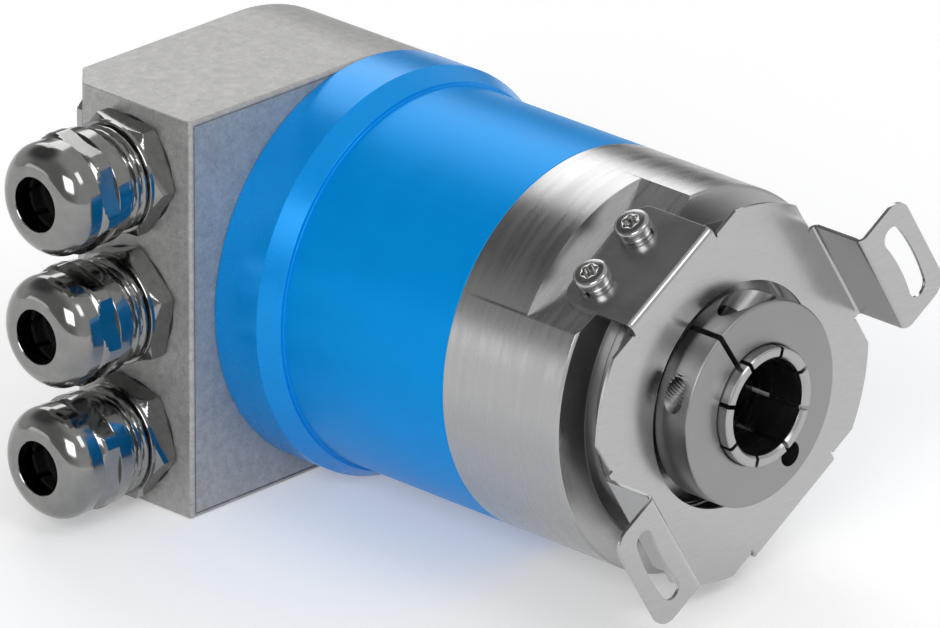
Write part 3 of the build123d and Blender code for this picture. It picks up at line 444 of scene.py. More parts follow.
def moulded(name, colour, rough, metallic=0.0):
    """Moulded or painted finish with a fine grain."""
    material, tree, shader = new_material(name, Metallic=metallic)
    speckle = grouped(tree, SPECKLE, Grain=3000.0, Mottle=300.0).outputs
    tone = speckle["Mottle"], toned(colour, 0.88), toned(colour, 1.1)
    haze = speckle["Grain"], rough * 0.9, rough * 1.15
    surfaced(tree, shader, tone, haze, (speckle["Grain"], 0.12, 0.00003))
    return material


def blue_lacquer(name, colour, rough, shine, tint):
    """Satin metallic lacquer with a fine orange peel, its shine tinted by the blue."""
    look = {"Metallic": 0.18, "Specular_IOR_Level": shine, "Specular_Tint": (*tint, 1)}
    material, tree, shader = new_material(name, **look)
    speckle = grouped(tree, SPECKLE, Grain=5200.0, Mottle=120.0).outputs
    tone = speckle["Mottle"], toned(colour, 0.97), toned(colour, 1.03)
    haze = speckle["Mottle"], rough * 0.94, rough * 1.06
    surfaced(tree, shader, tone, haze, (speckle["Grain"], 0.10, 0.00003))
    return material


def glass(name):
    """Clear glass of the scale disc, faintly tinted, with a worn haze."""
    material, tree, shader = new_material(name, Transmission_Weight=1.0, IOR=1.5)
    mottle = grouped(tree, SPECKLE, Mottle=500.0).outputs["Mottle"]
    surfaced(tree, shader, (mottle, (0.80, 0.9, 0.88), (0.92, 0.97, 0.95)), (mottle, 0.02, 0.08))
    return material


BLUE = blue_lacquer("blue_lacquer", (0.0, 0.285, 0.78), 0.36, 0.25, (0.03, 0.85, 1.0))
BLUE_COLLAR = blue_lacquer("blue_lacquer_collar", (0.0, 0.275, 0.77), 0.27, 0.5, (0.4, 0.9, 1.0))
TURNED = turned_metal("turned_aluminium", 0.42, 0.28, 0.05, 0.25, 4200.0)
RING_FINISH = turned_metal("ring_aluminium", 0.30, 0.34, 0.04, 0.25, 5000.0)
SHAFT_METAL = turned_metal("shaft_steel", 0.40, 0.24, 0.06, 0.2, 5000.0)
CAST = cast_metal("cast_aluminium", (0.43, 0.425, 0.42), 0.48)
COVER = sheet_metal("cover_sheet", 0.38, 0.36, (1.0, 1.0, 0.04))
SPRING = sheet_metal("spring_sheet", 0.46, 0.22, (0.05, 0.05, 1.0))
NICKEL = bright_metal("plated_brass", (0.26, 0.26, 0.255), 0.11)
SCREW = bright_metal("screw_steel", (0.42, 0.42, 0.415), 0.17)
BLACK_STEEL = bright_metal("black_steel", (0.05, 0.05, 0.05), 0.3)
BEARING = bright_metal("bearing_steel", (0.6, 0.6, 0.62), 0.16)
BRASS = bright_metal("brass", (0.72, 0.52, 0.24), 0.3)
RUBBER = moulded("black_rubber", (0.012, 0.012, 0.012), 0.6)
BLACK_PLASTIC = moulded("black_plastic", (0.02, 0.02, 0.02), 0.45)
CAGE = moulded("cage_plastic", (0.012, 0.012, 0.011), 0.5)
BOARD = moulded("circuit_board", (0.01, 0.12, 0.05), 0.35)
WHITE_PLASTIC = moulded("white_plastic", (0.72, 0.71, 0.66), 0.35)
GREEN_PLASTIC = moulded("terminal_green", (0.03, 0.22, 0.09), 0.4)
MAGNET = moulded("sintered_magnet", (0.12, 0.12, 0.125), 0.5, 0.8)


SLOT_LOOKS = {
    "turned_aluminium": TURNED,
    "shaft_steel": SHAFT_METAL,
    "blue_lacquer": BLUE,
    "cast_grey": CAST,
    "cover_sheet": COVER,
    "spring_sheet": SPRING,
    "screw_steel": SCREW,
    "black_steel": BLACK_STEEL,
    "nickel": NICKEL,
    "bearing_steel": BEARING,
    "cage_plastic": CAGE,
    "black_rubber": RUBBER,
    "circuit_board": BOARD,
    "disc_glass": glass("disc_glass"),
    "gear_plastic": WHITE_PLASTIC,
    "gear_plate": BRASS,
    "magnet": MAGNET,
    "black_plastic": BLACK_PLASTIC,
    "terminal_green": GREEN_PLASTIC,
}
for part in frame["record"]["subparts"]:  # the nodes that no finer piece replaces keep these looks
    cad = frame["nodes"][part["node"]]
    cad.data.materials.clear()
    cad.data.materials.append(SLOT_LOOKS[part["material_slot"]])


# Places in mm and degrees, and the frames that the pieces are built in
COUPLING_TURN = 31.5
LEG_SCREWS, LEG_SCREW_Y = (-5.1, 5.1), 18.2
M3_TAPPED, M3_CLEAR, M3_SHANK = 1.52, 1.65, 1.44
BODY_R, COLLAR_R, BORE_R = 30.0, 32.3, 7.5
SEAM, SHOULDER, COLLAR, BOX_FRONT, BOX_REAR, COVER_REAR = 38.0, 71.1, 74.5, 83.4, 110.9, 112.1
BOX_R, BOX_REACH, CAVITY_FLOOR = 32.2, 37.2, 86.4
LID_SCREWS = ((-25.0, 26.0), (-25.0, -26.0), (20.5, 17.5), (20.5, -17.5))
BOARD_POSTS = ((-23.0, 18.0), (-23.0, -18.0), (11.0, 19.5), (11.0, -19.5))
GLAND_Y, GLAND_PITCH = 95.9, 21.35
GLAND_HEIGHTS = (GLAND_PITCH, 0.0, -GLAND_PITCH)
GLAND_TURNS = (55.5, 17.8, 50.7)
CAP_TURNS = (45.4, 45.4, 28.0)


def across(turn=0):
    """Section across the shaft: X at the turn from +X towards +Z, Z running forward out of the bore."""
    out = math.radians(turn)
    return axis_frame((0, 0, 0), (0, -1, 0), (math.cos(out), 0, math.sin(out)))


def slab(place, x, y, z):
    """Cutting block between two values along each axis, in mm."""
    return prism("slab", [(x[0], y[0]), (x[1], y[0]), (x[1], y[1]), (x[0], y[1])], z[0], z[1], place)


def leg_frame(side):
    """Outward frame of one coupling leg: X across the leg, Y along +Y, Z straight out."""
    out = math.radians(COUPLING_TURN + 90 * side)
    return axis_frame((0, 0, 0), (math.cos(out), 0, math.sin(out)), (math.sin(out), 0, -math.cos(out)))


FRONT = across()
FLOOR_SCREWS = [shifted(across(45 + 90 * k), 21.0) for k in range(4)]


# Turned housings
def flange_housing():
    """Front housing with bearing seats, spigot and the two milled flats under the coupling."""
    flat, flat_start, flat_end = 26.4, 8.95, 24.75
    profile = [
        (16.0, 20.25), (13.0, 20.25), (13.0, 18.65), (14.0, 18.65), (14.0, 15.45), (22.2, 15.45),
        (22.2, 14.05), (24.85, 14.05), (24.85, 13.83), (25.2, 13.65), (29.65, 14.6), (BODY_R, 14.95),
        (BODY_R, SEAM), (28.03, SEAM), (28.03, 41.0), (26.77, 41.0), (26.77, 42.44), (28.03, 42.44),
        (28.03, 46.0), (26.03, 46.0), (26.03, SEAM), (22.0, SEAM), (22.0, 40.6), (16.0, 40.6),
        (16.0, 39.45), (17.0, 39.45), (17.0, 38.25), (16.0, 38.25),
    ]
    body = turned("flange", eased(profile, 0.12), steps=360)
    for side in (-1, 1):
        frame_out = leg_frame(side)
        cut(body, slab(frame_out, (-BODY_R, BODY_R), (flat_start, flat_end), (flat, 34)))
        for across_leg in LEG_SCREWS:
            cut(body, rod("tapped", shifted(frame_out, across_leg, LEG_SCREW_Y), M3_TAPPED, 19.2, 27, 32))
    body = broken_edges(body, 0.14, 32)
    return dressed(body, TURNED, "housing", ["flange_housing"])


def blue_cap():
    """Lacquered housing: straight wall, a step, a tapered collar, and the floor with its window and bosses."""
    inner_r, floor_front = 28.05, 80.9
    profile = [
        (0, BOX_FRONT), (COLLAR_R, BOX_FRONT), (COLLAR_R, COLLAR), (30.6, SHOULDER), (BODY_R, SHOULDER),
        (BODY_R, SEAM), (inner_r, SEAM), (inner_r, floor_front), (0, floor_front),
    ]
    body = turned("blue_cap", eased(profile, 0.22, 4), steps=360)
    for spot in FLOOR_SCREWS:
        cut(body, rod("boss", spot, 3.6, -81.2, -76.9), "UNION")
        cut(body, rod("tapped", spot, M3_TAPPED, -84, -76, 32))
    cut(body, slab(FRONT, (-10, 10), (-4, 4), (-84, -80)))
    cap = dressed(body, BLUE, "housing", ["blue_housing"])
    cap.data.materials.append(BLUE_COLLAR)
    for face in cap.data.polygons:
        face.material_index = int(face.center.y > (SHOULDER - 0.1) * MM)
    return cap


def front_plate():
    """Cover ring between the shaft and the coupling, with a turned groove."""
    inner, outer, front, groove, rear = 10.6, 22.18, 12.75, 12.95, 15.45
    profile = [
        (inner, front), (18.4, front), (18.5, groove), (19.0, groove), (19.1, front), (outer, front),
        (outer, rear), (inner, rear),
    ]
    ring = turned("cover_ring", eased(profile, 0.15))
    return dressed(ring, TURNED, "housing", ["front_cover"])


# Stator coupling
SHEET, PLATE_FRONT, PLATE_R, PLATE_U, PLATE_V = 0.6, 7.0, 29.4, 24.8, 25.2
PLATE_HOLE_R, SLOT_PCR, SLOT_WIDTH, SLOT_SWING = 17.6, 31.5, 3.5, 20
LEG_BEND, LEG_BEND_LENGTH, LEG_OUTSIDE = 26.0, 0.6 * QUARTER, 1.0
LEG_FACE, LEG_LENGTH, LEG_CORNER = LEG_BEND + LEG_OUTSIDE, 13.8, 3.5
ARM_BEND, ARM_BEND_LENGTH, ARM_INSIDE, ARM_RUN = 25.3, 0.9 * QUARTER, 0.5, 7.8
TAB_BEND, TAB_OUTSIDE, TAB_FRONT, TAB_REACH, TAB_CORNER = 27.1, 1.3, -2.6, 35.9, 3.0
ARM_TAKE_UP = 8.82  # how much longer an arm is in the flat blank than it reaches out when folded
HALF_WIDTH, NOTCH, BEND_STEPS = 10.0, 0.35, 8


def leg_fold(s, t):
    """Leg: distance from the centre and depth in the flat sheet, to distance out and place along the shaft."""
    centre = PLATE_FRONT + LEG_OUTSIDE
    if s <= LEG_BEND:  # still in the plate
        return s, PLATE_FRONT + t
    if s < LEG_BEND + LEG_BEND_LENGTH:
        turn = (s - LEG_BEND) / LEG_BEND_LENGTH * QUARTER
        return LEG_BEND + (LEG_OUTSIDE - t) * math.sin(turn), centre - (LEG_OUTSIDE - t) * math.cos(turn)
    return LEG_FACE - t, centre + s - LEG_BEND - LEG_BEND_LENGTH


def arm_fold(s, t):
    """Arm: folded forward beside the ring, then outward to the slotted tab."""
    first, length, centre = ARM_BEND, ARM_BEND_LENGTH, PLATE_FRONT - ARM_INSIDE
    second = first + length + ARM_RUN
    if s <= first:
        return s, PLATE_FRONT + t
    if s < first + length:
        turn = (s - first) / length * QUARTER
        return first + (ARM_INSIDE + t) * math.sin(turn), centre + (ARM_INSIDE + t) * math.cos(turn)
    if s <= second:
        return first + ARM_INSIDE + t, centre - (s - first - length)
    if s < second + length:
        turn = (s - second) / length * QUARTER
        depth = TAB_OUTSIDE - t
        return TAB_BEND - depth * math.cos(turn), TAB_FRONT + TAB_OUTSIDE - depth * math.sin(turn)
    return TAB_BEND + s - second - length, TAB_FRONT + t


def arc_slot(centre, radius, width, swing):
    """Closed outline of a curved slot with round ends."""
    half, r = swing / 2, width / 2
    points = arc(centre, radius + r, -half, half, 20)
    end = math.radians(half)
    tip = (centre[0] + radius * math.cos(end), centre[1] + radius * math.sin(end))
    points += arc(tip, r, half, half + 180, 16)[1:-1]
    points += arc(centre, radius - r, half, -half, 20)
    tip = (centre[0] + radius * math.cos(end), centre[1] - radius * math.sin(end))
    return points + arc(tip, r, 180 - half, 360 - half, 16)[1:-1]


def coupling_blank():
    """Outline and holes of the coupling as one flat sheet, in mm."""
    tab_end, leg_fold_end = TAB_REACH + ARM_TAKE_UP, LEG_BEND + LEG_BEND_LENGTH
    side_notch = HALF_WIDTH + NOTCH
    quarter = [(tab_end, 0.0)]
    quarter += arc((tab_end - TAB_CORNER, HALF_WIDTH - TAB_CORNER), TAB_CORNER, 0, 90, 8)
    quarter += [(PLATE_U - 0.3, HALF_WIDTH), (PLATE_U - 0.3, side_notch), (PLATE_U, side_notch)]
    corner_start = math.degrees(math.acos(PLATE_U / PLATE_R))
    quarter += arc((0, 0), PLATE_R, corner_start, math.degrees(math.asin(PLATE_V / PLATE_R)), 10)
    quarter += [(side_notch, PLATE_V), (side_notch, PLATE_V - 0.4), (HALF_WIDTH, PLATE_V - 0.4)]
    quarter += arc((HALF_WIDTH - LEG_CORNER, leg_fold_end + LEG_LENGTH - LEG_CORNER), LEG_CORNER, 0, 90, 10)
    half = quarter + [(-x, y) for x, y in reversed(quarter)]
    outer = half + [(x, -y) for x, y in reversed(half)]
    holes = [circle(PLATE_HOLE_R, 160)]
    for side in (-1, 1):
        for across_leg in LEG_SCREWS:
            hole = leg_fold_end + LEG_SCREW_Y - PLATE_FRONT - LEG_OUTSIDE
            holes.append(circle(M3_CLEAR, 32, (across_leg, side * hole)))
        slot = arc_slot((ARM_TAKE_UP, 0), SLOT_PCR, SLOT_WIDTH, SLOT_SWING)
        holes.append([(side * x, y) for x, y in slot])
    return [outer] + holes


def stator_sheet():
    """Coupling: its flat blank, cut into strips at the bends, given thickness and edges, then folded."""
    bm = bmesh.new()
    for loop in coupling_blank():
        clean = [p for i, p in enumerate(loop) if math.dist(p, loop[i - 1]) > 1e-4]
        verts = [bm.verts.new((x, y, 0)) for x, y in clean]
        for i in range(len(verts)):
            bm.edges.new((verts[i - 1], verts[i]))
    bmesh.ops.triangle_fill(bm, edges=bm.edges[:], use_beauty=True, normal=(0, 0, 1))
    tab_bend = ARM_BEND + ARM_BEND_LENGTH + ARM_RUN
    bends = [(0, ARM_BEND, ARM_BEND_LENGTH), (0, tab_bend, ARM_BEND_LENGTH), (1, LEG_BEND, LEG_BEND_LENGTH)]
    for axis, start, length in bends:
        normal = Vector((1 - axis, axis, 0))
        for k in range(BEND_STEPS + 1):
            for side in (-1, 1):
                spot = normal * side * (start + length * k / BEND_STEPS)
                everything = bm.verts[:] + bm.edges[:] + bm.faces[:]
                bmesh.ops.bisect_plane(bm, geom=everything, dist=1e-5, plane_co=spot, plane_no=normal)
    bm.verts.index_update()
    flat = [tuple(v.co) for v in bm.verts]
    faces = [tuple(v.index for v in f.verts) for f in bm.faces]
    rims = [tuple(v.index for v in e.verts) for e in bm.edges if len(e.link_faces) == 1]
    bm.free()
    count = len(flat)
    points = [(x * MM, y * MM, t * MM) for t in (0.0, SHEET) for x, y, z in flat]
    solid = faces + [tuple(i + count for i in reversed(f)) for f in faces]
    solid += [(a, b, b + count, a + count) for a, b in rims]
    blank = broken_edges(piece_from("coupling", points, solid), 0.06, 60)
    turn = math.radians(COUPLING_TURN)
    u_axis = Vector((math.cos(turn), 0, math.sin(turn)))
    v_axis = Vector((-math.sin(turn), 0, math.cos(turn)))
    for vertex in blank.data.vertices:
        x, y, t = (c / MM for c in vertex.co)
        if abs(x) > PLATE_U + 0.1:
            out, along = arm_fold(abs(x), t)
            x = math.copysign(out, x)
        elif abs(y) > PLATE_V + 0.3:
            out, along = leg_fold(abs(y), t)
            y = math.copysign(out, y)
        else:
            along = PLATE_FRONT + t
        vertex.co = (u_axis * x + v_axis * y + Vector((0, along, 0))) * MM
    turn_outwards(blank.data)
    return dressed(blank, SPRING, "housing", ["stator_coupling"], 26)


# Fasteners
def lobed(radius):
    """Six-lobe socket outline."""
    points = [(radius * (0.87 + 0.13 * math.cos(6 * t)), t) for t in full_turn(96)]
    return [(r * math.cos(t), r * math.sin(t)) for r, t in points]


def pan_screw():
    """Pan head screw with a six-lobe socket, standing on its seat."""
    head_r, brim, top = 2.75, 1.1, 1.75
    profile = [(0, -7.0), (1.2, -7.0), (M3_SHANK, -6.7), (M3_SHANK, -0.05)]
    profile += [(2.6, 0.0), (head_r, 0.15), (head_r, brim)]
    for a in (0.4, 0.8, 1.2, 1.5):
        profile.append((head_r - 0.7 * (1 - math.cos(a)), brim + 0.6 * math.sin(a)))
    profile += [(1.5, top), (0, top)]
    screw = turned("pan_screw", profile, UPRIGHT, 96)
    cut(screw, prism("socket", lobed(1.45), 0.4, 3, UPRIGHT))
    return broken_edges(screw, 0.06, 50)


def cover_screw():
    """Countersunk screw with a six-lobe socket, flush with the cover."""
    profile = [(0, -8.7), (0.9, -8.7), (1.19, -8.4), (1.19, -1.2), (2.35, -0.12), (2.38, 0.0), (0, 0.0)]
    screw = turned("cover_screw", profile, UPRIGHT, 96)
    cut(screw, prism("socket", lobed(1.25), -1.0, 1, UPRIGHT))
    return broken_edges(screw, 0.05, 50)


WASHER_RISE, WASHER_HEIGHT = 0.06, 0.6


def spring_washer():
    """Split spring washer: a square wire turned once, its ends apart."""
    wire = ((1.58, 0.02), (2.55, 0.0), (2.64, 0.08), (2.64, 0.46), (2.55, 0.54), (1.58, 0.52))
    opening = 10
    steps, count, points, faces = 72, len(wire), [], []
    for k in range(steps + 1):
        turn = math.radians(opening / 2 + (360 - opening) * k / steps)
        rise = WASHER_RISE * k / steps
        points += [(r * math.cos(turn) * MM, r * math.sin(turn) * MM, (h + rise) * MM) for r, h in wire]
    for k in range(steps):
        faces += quads(count * k, count * (k + 1), count)
    faces += [tuple(range(count)), tuple(range(count * (steps + 1) - 1, count * steps - 1, -1))]
    return piece_from("spring_washer", points, faces)


def fastener_tree():
    """Geometry tree: one fastener on every point, along the direction kept there, each turned its own way."""
    tree = bpy.data.node_groups.new("fastener_set", "GeometryNodeTree")
    inputs = {"Places": "Geometry", "Fastener": "Object", "Turn Seed": "Int", "Finish": "Material"}
    for label, kind in inputs.items():
        tree.interface.new_socket(label, in_out="INPUT", socket_type="NodeSocket" + kind)
    tree.interface.new_socket("Fasteners", in_out="OUTPUT", socket_type="NodeSocketGeometry")
    start, end = tree.nodes.new("NodeGroupInput"), tree.nodes.new("NodeGroupOutput")
    shape = node(tree, "GeometryNodeObjectInfo", transform_space="ORIGINAL")
    join(tree, start.outputs["Fastener"], shape.inputs["Object"])
    out = node(tree, "GeometryNodeInputNamedAttribute", data_type="FLOAT_VECTOR", in_Name="out")
    aim = node(tree, "FunctionNodeAlignRotationToVector", axis="Z")
    join(tree, out.outputs["Attribute"], aim.inputs["Vector"])
    put = tree.nodes.new("GeometryNodeInstanceOnPoints")
    join(tree, start.outputs["Places"], put.inputs["Points"])
    join(tree, shape.outputs["Geometry"], put.inputs["Instance"])
    join(tree, aim.outputs["Rotation"], put.inputs["Rotation"])
    chance = node(tree, "FunctionNodeRandomValue", data_type="FLOAT_VECTOR")
    chance.inputs[0].default_value = (0, 0, 0)
    chance.inputs[1].default_value = (0, 0, 2 * math.pi)
    join(tree, start.outputs["Turn Seed"], chance.inputs["Seed"])
    spin = tree.nodes.new("GeometryNodeRotateInstances")
    join(tree, put.outputs["Instances"], spin.inputs["Instances"])
    join(tree, chance.outputs["Value"], spin.inputs["Rotation"])
    real = tree.nodes.new("GeometryNodeRealizeInstances")
    join(tree, spin.outputs["Instances"], real.inputs["Geometry"])
    finish = tree.nodes.new("GeometryNodeSetMaterial")
    join(tree, real.outputs["Geometry"], finish.inputs["Geometry"])
    join(tree, start.outputs["Finish"], finish.inputs["Material"])
    join(tree, finish.outputs["Geometry"], end.inputs["Fasteners"])
    return tree


FASTENERS = fastener_tree()


def fasteners(name, template, places, nodes, seed):
    """Runs the fastener tree over (place, outward direction) pairs and keeps the result as a mesh."""
    mesh = bpy.data.meshes.new(name)
    mesh.from_pydata([tuple(Vector(p) * MM) for p, out in places], [], [])
    kept = mesh.attributes.new("out", "FLOAT_VECTOR", "POINT")
    for value, (p, out) in zip(kept.data, places):
        value.vector = out
    obj = in_scene(name, mesh)
    step = obj.modifiers.new("set", "NODES")
    step.node_group = FASTENERS
    values = {"Fastener": template, "Turn Seed": seed, "Finish": SCREW}
    for item in FASTENERS.interface.items_tree:
        if item.in_out == "INPUT" and item.name in values:
            step[item.identifier] = values[item.name]
    settled(obj)
    bpy.data.objects.remove(template)
    return dressed(obj, SCREW, "housing", nodes)


def leg_places(out):
    """Places of the four coupling screws at a distance out from the axis."""
    places = []
    for side in (-1, 1):
        where = leg_frame(side)
        for across_leg in LEG_SCREWS:
            spot = where @ Vector((across_leg * MM, LEG_SCREW_Y * MM, out * MM))
            places.append((spot / MM, where.to_3x3() @ Vector((0, 0, 1))))
    return places


# Hollow shaft, clamp ring and clamp screw
SPLIT_TURN, SLEEVE_SLOT_TURN, SLEEVE_R, RING_R, RING_FRONT, RING_REAR = 123.7, 27.7, 9.25, 16.0, 1.8, 8.3
RING = across(SPLIT_TURN)
SCREW_MIDDLE = RING.to_3x3() @ Vector((12.6, 0, 0)) + Vector((0, (RING_FRONT + RING_REAR) / 2, 0))
SCREW_LINE = axis_frame(SCREW_MIDDLE, RING.to_3x3() @ Vector((0, 1, 0)), (0, 1, 0))


def shaft():
    """Hollow shaft: slotted sleeve with a chamfered mouth, then the seats."""
    profile = [
        (BORE_R + 0.4, 0.0), (9.0, 0.0), (SLEEVE_R, 0.25), (SLEEVE_R, 12.6), (10.0, 12.6), (10.0, 19.05),
        (9.0, 19.05), (9.0, 20.25), (10.0, 20.25), (10.0, 38.25), (12.0, 38.25), (12.0, 41.55),
        (9.5, 41.55), (9.5, 43.5), (5.0, 43.5), (5.0, 48.5), (0.9, 48.5), (0.9, 59.9), (0, 59.9),
        (0, 40.0), (BORE_R, 40.0), (BORE_R, 0.4),
    ]
    body = turned("shaft", eased(profile, 0.06), steps=360)
    for k in range(4):
        cut(body, slab(across(SLEEVE_SLOT_TURN + 45 * k), (-9.6, 9.6), (-0.35, 0.35), (-11.5, 2)))
    body = broken_edges(body, 0.07, 40)
    return dressed(body, SHAFT_METAL, "rotor", ["hollow_shaft"])


def split_ring():
    """Clamp ring with its split, relief hole, screw pocket and threaded exit."""
    inner, half_split = SLEEVE_R + 0.02, 0.45
    profile = [(inner, RING_FRONT), (RING_R, RING_FRONT), (RING_R, RING_REAR), (inner, RING_REAR)]
    ring = turned("ring", eased(profile, 0.42, 4), steps=360)
    cut(ring, slab(RING, (7.5, 18), (-half_split, half_split), (-9, -1)))
    cut(ring, rod("relief", shifted(RING, -12), 1.95, -9, -1))
    cut(ring, slab(RING, (-11.5, -7.5), (-half_split, half_split), (-9, -1)))
    cut(ring, rod("screw_bore", SCREW_LINE, 1.6, -4, 1, 48))
    cut(ring, rod("pocket", SCREW_LINE, 3.0, -16, -3))
    root, pitch = 1.78, 0.5
    ridges = [(0, 0.4), (M3_TAPPED, 0.4)]
    for k in range(20):
        start = 0.45 + pitch * k
        ridges += [(M3_TAPPED, start), (root, start + 0.2), (root, start + 0.26), (M3_TAPPED, start + 0.46)]
    cut(ring, turned("thread", ridges + [(1.85, 10.6), (1.85, 14), (0, 14)], SCREW_LINE, 64))
    ring = broken_edges(ring, 0.10, 45)
    return dressed(ring, RING_FINISH, "rotor", ["clamp_ring"])


def screw_across():
    """Cap screw across the split, with its hexagon socket."""
    head_r, head_end, under_head, socket_r = 2.68, -5.8, -3.0, 1.44
    profile = [(0, head_end), (2.5, head_end), (head_r, -5.6), (head_r, under_head)]
    profile += [(M3_SHANK, under_head), (M3_SHANK, 5.7), (1.2, 6.0), (0, 6.0)]
    screw = turned("cap_screw", profile, SCREW_LINE, 96)
    cut(screw, prism("socket", circle(socket_r, 6), -7, -4.4, SCREW_LINE))
    screw = broken_edges(screw, 0.06, 50)
    return dressed(screw, BLACK_STEEL, "clamp_screw", ["clamp_screw"])


# Adaptor box and its cover
def d_outline(reach, radius, corner=0):
    """Half round towards +X, square towards -X, its corners cut if a size is given."""
    ends = [(corner - reach, radius), (-reach, radius - corner)] if corner else [(-reach, radius)]
    return arc((0, 0), radius, -90, 90, 120) + ends + [(x, -y) for x, y in reversed(ends)]


BOX_OUTLINE = d_outline(BOX_REACH, BOX_R)


def drawn_in(depth):
    """Box outline drawn in by a depth on the square side, and less round the half circle."""
    loop = []
    for x, y in BOX_OUTLINE:
        inset = depth if x < 0.01 else max(0.2 * depth, depth * (1 - 0.2 * x))
        shrink = (BOX_R - inset) / BOX_R
        loop.append((max(x, inset - BOX_REACH) * (shrink if x > 0 else 1), y * shrink))
    return loop


def through(name, loops, capped):
    """Body through (outline, distance back) loops: with a face at both ends, or running on round."""
    count = len(loops[0][0])
    points = [FRONT @ Vector((x * MM, y * MM, -back * MM)) for loop, back in loops for x, y in loop]
    total = len(points)
    faces = [tuple(range(count)), tuple(range(total - 1, total - count - 1, -1))] if capped else []
    for k in range(len(loops) - capped):
        faces += quads(k * count, (k + 1) % len(loops) * count, count)
    return piece_from(name, points, faces)


def adaptor_casting():
    """Cast box: rounded edges, a fine line round the front, cut rear corner, bosses and gland holes."""
    rows = [(drawn_in(0.4), BOX_FRONT), (BOX_OUTLINE, BOX_FRONT + 0.4), (BOX_OUTLINE, BOX_REAR)]
    box = through("casting", rows, True)
    corner = [(-32.7, BOX_REAR), (-32.7, 112), (-39, 112), (-39, 106.4), (-BOX_REACH, 106.4)]
    side = axis_frame((0, 0, 0), (0, 0, 1), (1, 0, 0))
    cut(box, prism("corner", corner, -40, 40, side))
    box = broken_edges(box, 0.28, 30, 3)
    groove = ((0.95, 83.2), (0.62, 83.2), (0.68, 83.65), (0.89, 83.65))
    cut(box, through("rim_line", [(drawn_in(depth), back) for depth, back in groove], False))
    cut(box, prism("cavity", d_outline(29.2, 29.6, 4.2), -112, -CAVITY_FLOOR, FRONT))
    rooted = 0.4 - CAVITY_FLOOR
    for x, z in LID_SCREWS:
        cut(box, rod("boss", shifted(FRONT, x, z), 2.9, -BOX_REAR, rooted, 40), "UNION")
        cut(box, rod("hole", shifted(FRONT, x, z), 1.27, -112, -102.9, 32))
    for x, z in BOARD_POSTS:
        cut(box, rod("post", shifted(FRONT, x, z), 2.2, -89.4, rooted, 40), "UNION")
    for spot in FLOOR_SCREWS:
        cut(box, rod("hole", spot, M3_CLEAR, -88, -82, 32))
    cut(box, slab(FRONT, (-10, 10), (-4, 4), (-88, -82)))
    for z in GLAND_HEIGHTS:
        cut(box, rod("entry", gland_frame(z), 7.68, -9, 1, 72))
    return dressed(box, CAST, "housing", ["adaptor_box"])


def cover_sheet():
    """Rear cover with its sunk screw holes."""
    lid = prism("lid", d_outline(32.9, 31.4, 6.1), -COVER_REAR, -BOX_REAR, FRONT)
    sink = [(0, 110), (1.35, 110), (1.35, BOX_REAR), (2.55, COVER_REAR + 0.05), (2.55, 113), (0, 113)]
    for x, z in LID_SCREWS:
        spot = axis_frame((x, 0, z), (0, 1, 0), (1, 0, 0))
        cut(lid, turned("sink", sink, spot, 64))
    return dressed(broken_edges(lid, 0.14, 40), COVER, "housing", ["rear_cover"])


# Cable glands
def gland_frame(z, turn=0):
    """Gland axis running out of the box: X starts along +Y and turns towards -Z."""
    side = (0, math.cos(math.radians(turn)), -math.sin(math.radians(turn)))
    return axis_frame((-BOX_REACH, GLAND_Y, z), (-1, 0, 0), side)


def hexed(across_flats, limit):
    """Radius round a hexagon, turned down to a limit at its corners."""
    def radius(angles):
        near = np.mod(angles, np.pi / 3) - np.pi / 6
        return np.minimum(across_flats / 2 / np.cos(near), limit)
    return radius


def threaded(root, crest, pitch, along):
    """Radius round a thread at one place along it."""
    def radius(angles):
        phase = np.mod(along / pitch - angles / (2 * np.pi), 1.0)
        wave = np.clip(np.abs(phase - 0.5) * 4 - 0.5, 0, 1)
        return root + (crest - root) * wave
    return radius


def gland_body(z, turn):
    """Gland body: entry, chamfered hexagon, collar and the threaded neck under the cap."""
    flats, collar_r, corner_r, entry_r = 17.0, 8.8, 9.85, 7.6
    root, crest, pitch = 7.7, 8.28, 1.5
    rows = [(4.8, -8.0), (7.45, -8.0), (entry_r, -7.85), (entry_r, 0.3), (8.3, 0.3)]
    rows.append((hexed(flats, collar_r), 0.32))
    for turn_out in np.linspace(0, 1, 6) * QUARTER:
        limit = collar_r + 1.05 * math.sin(turn_out)
        rows.append((hexed(flats, limit), 0.34 + 0.5 * (1 - math.cos(turn_out))))
    rows.append((hexed(flats, corner_r), 3.1))
    for step in np.linspace(0, 1, 7):
        rows.append((hexed(flats, corner_r - 1.05 * step), 3.1 + 0.78 * step ** 1.3))
    rows += [(collar_r, 3.9), (collar_r, 4.5), (8.7, 4.6), (7.75, 4.62)]
    rows += [(threaded(root, crest, pitch, h), h) for h in np.arange(4.7, 10.0, 0.1)]
    rows += [(crest, 10.1), (crest, 13.4), (8.1, 13.6), (6.38, 13.6), (6.38, 7.0), (4.8, 7.0)]
    return turned("gland_body", rows, gland_frame(z, turn))


def joined(name, pieces):
    """One object from several."""
    verts, faces, start = [], [], 0
    for piece in pieces:
        verts += [v.co.copy() for v in piece.data.vertices]
        faces += [tuple(start + i for i in p.vertices) for p in piece.data.polygons]
        start = len(verts)
        bpy.data.objects.remove(piece)
    return piece_from(name, verts, faces)


def gland_set():
    """The three gland bodies, and the flat seals pressed out a little between hexagon and box."""
    bodies = [gland_body(z, turn) for z, turn in zip(GLAND_HEIGHTS, GLAND_TURNS)]
    dressed(joined("gland_body_set", bodies), NICKEL, "housing", ["gland_bodies"], 24)
    profile = [(7.7, 0.0), (8.6, 0.0), (8.7, 0.08), (8.7, 0.22), (8.6, 0.3), (7.7, 0.3)]
    seals = [turned("seal", profile, gland_frame(z), 128) for z in GLAND_HEIGHTS]
    dressed(joined("entry_seals", seals), RUBBER, "housing", ["gland_o_rings"])


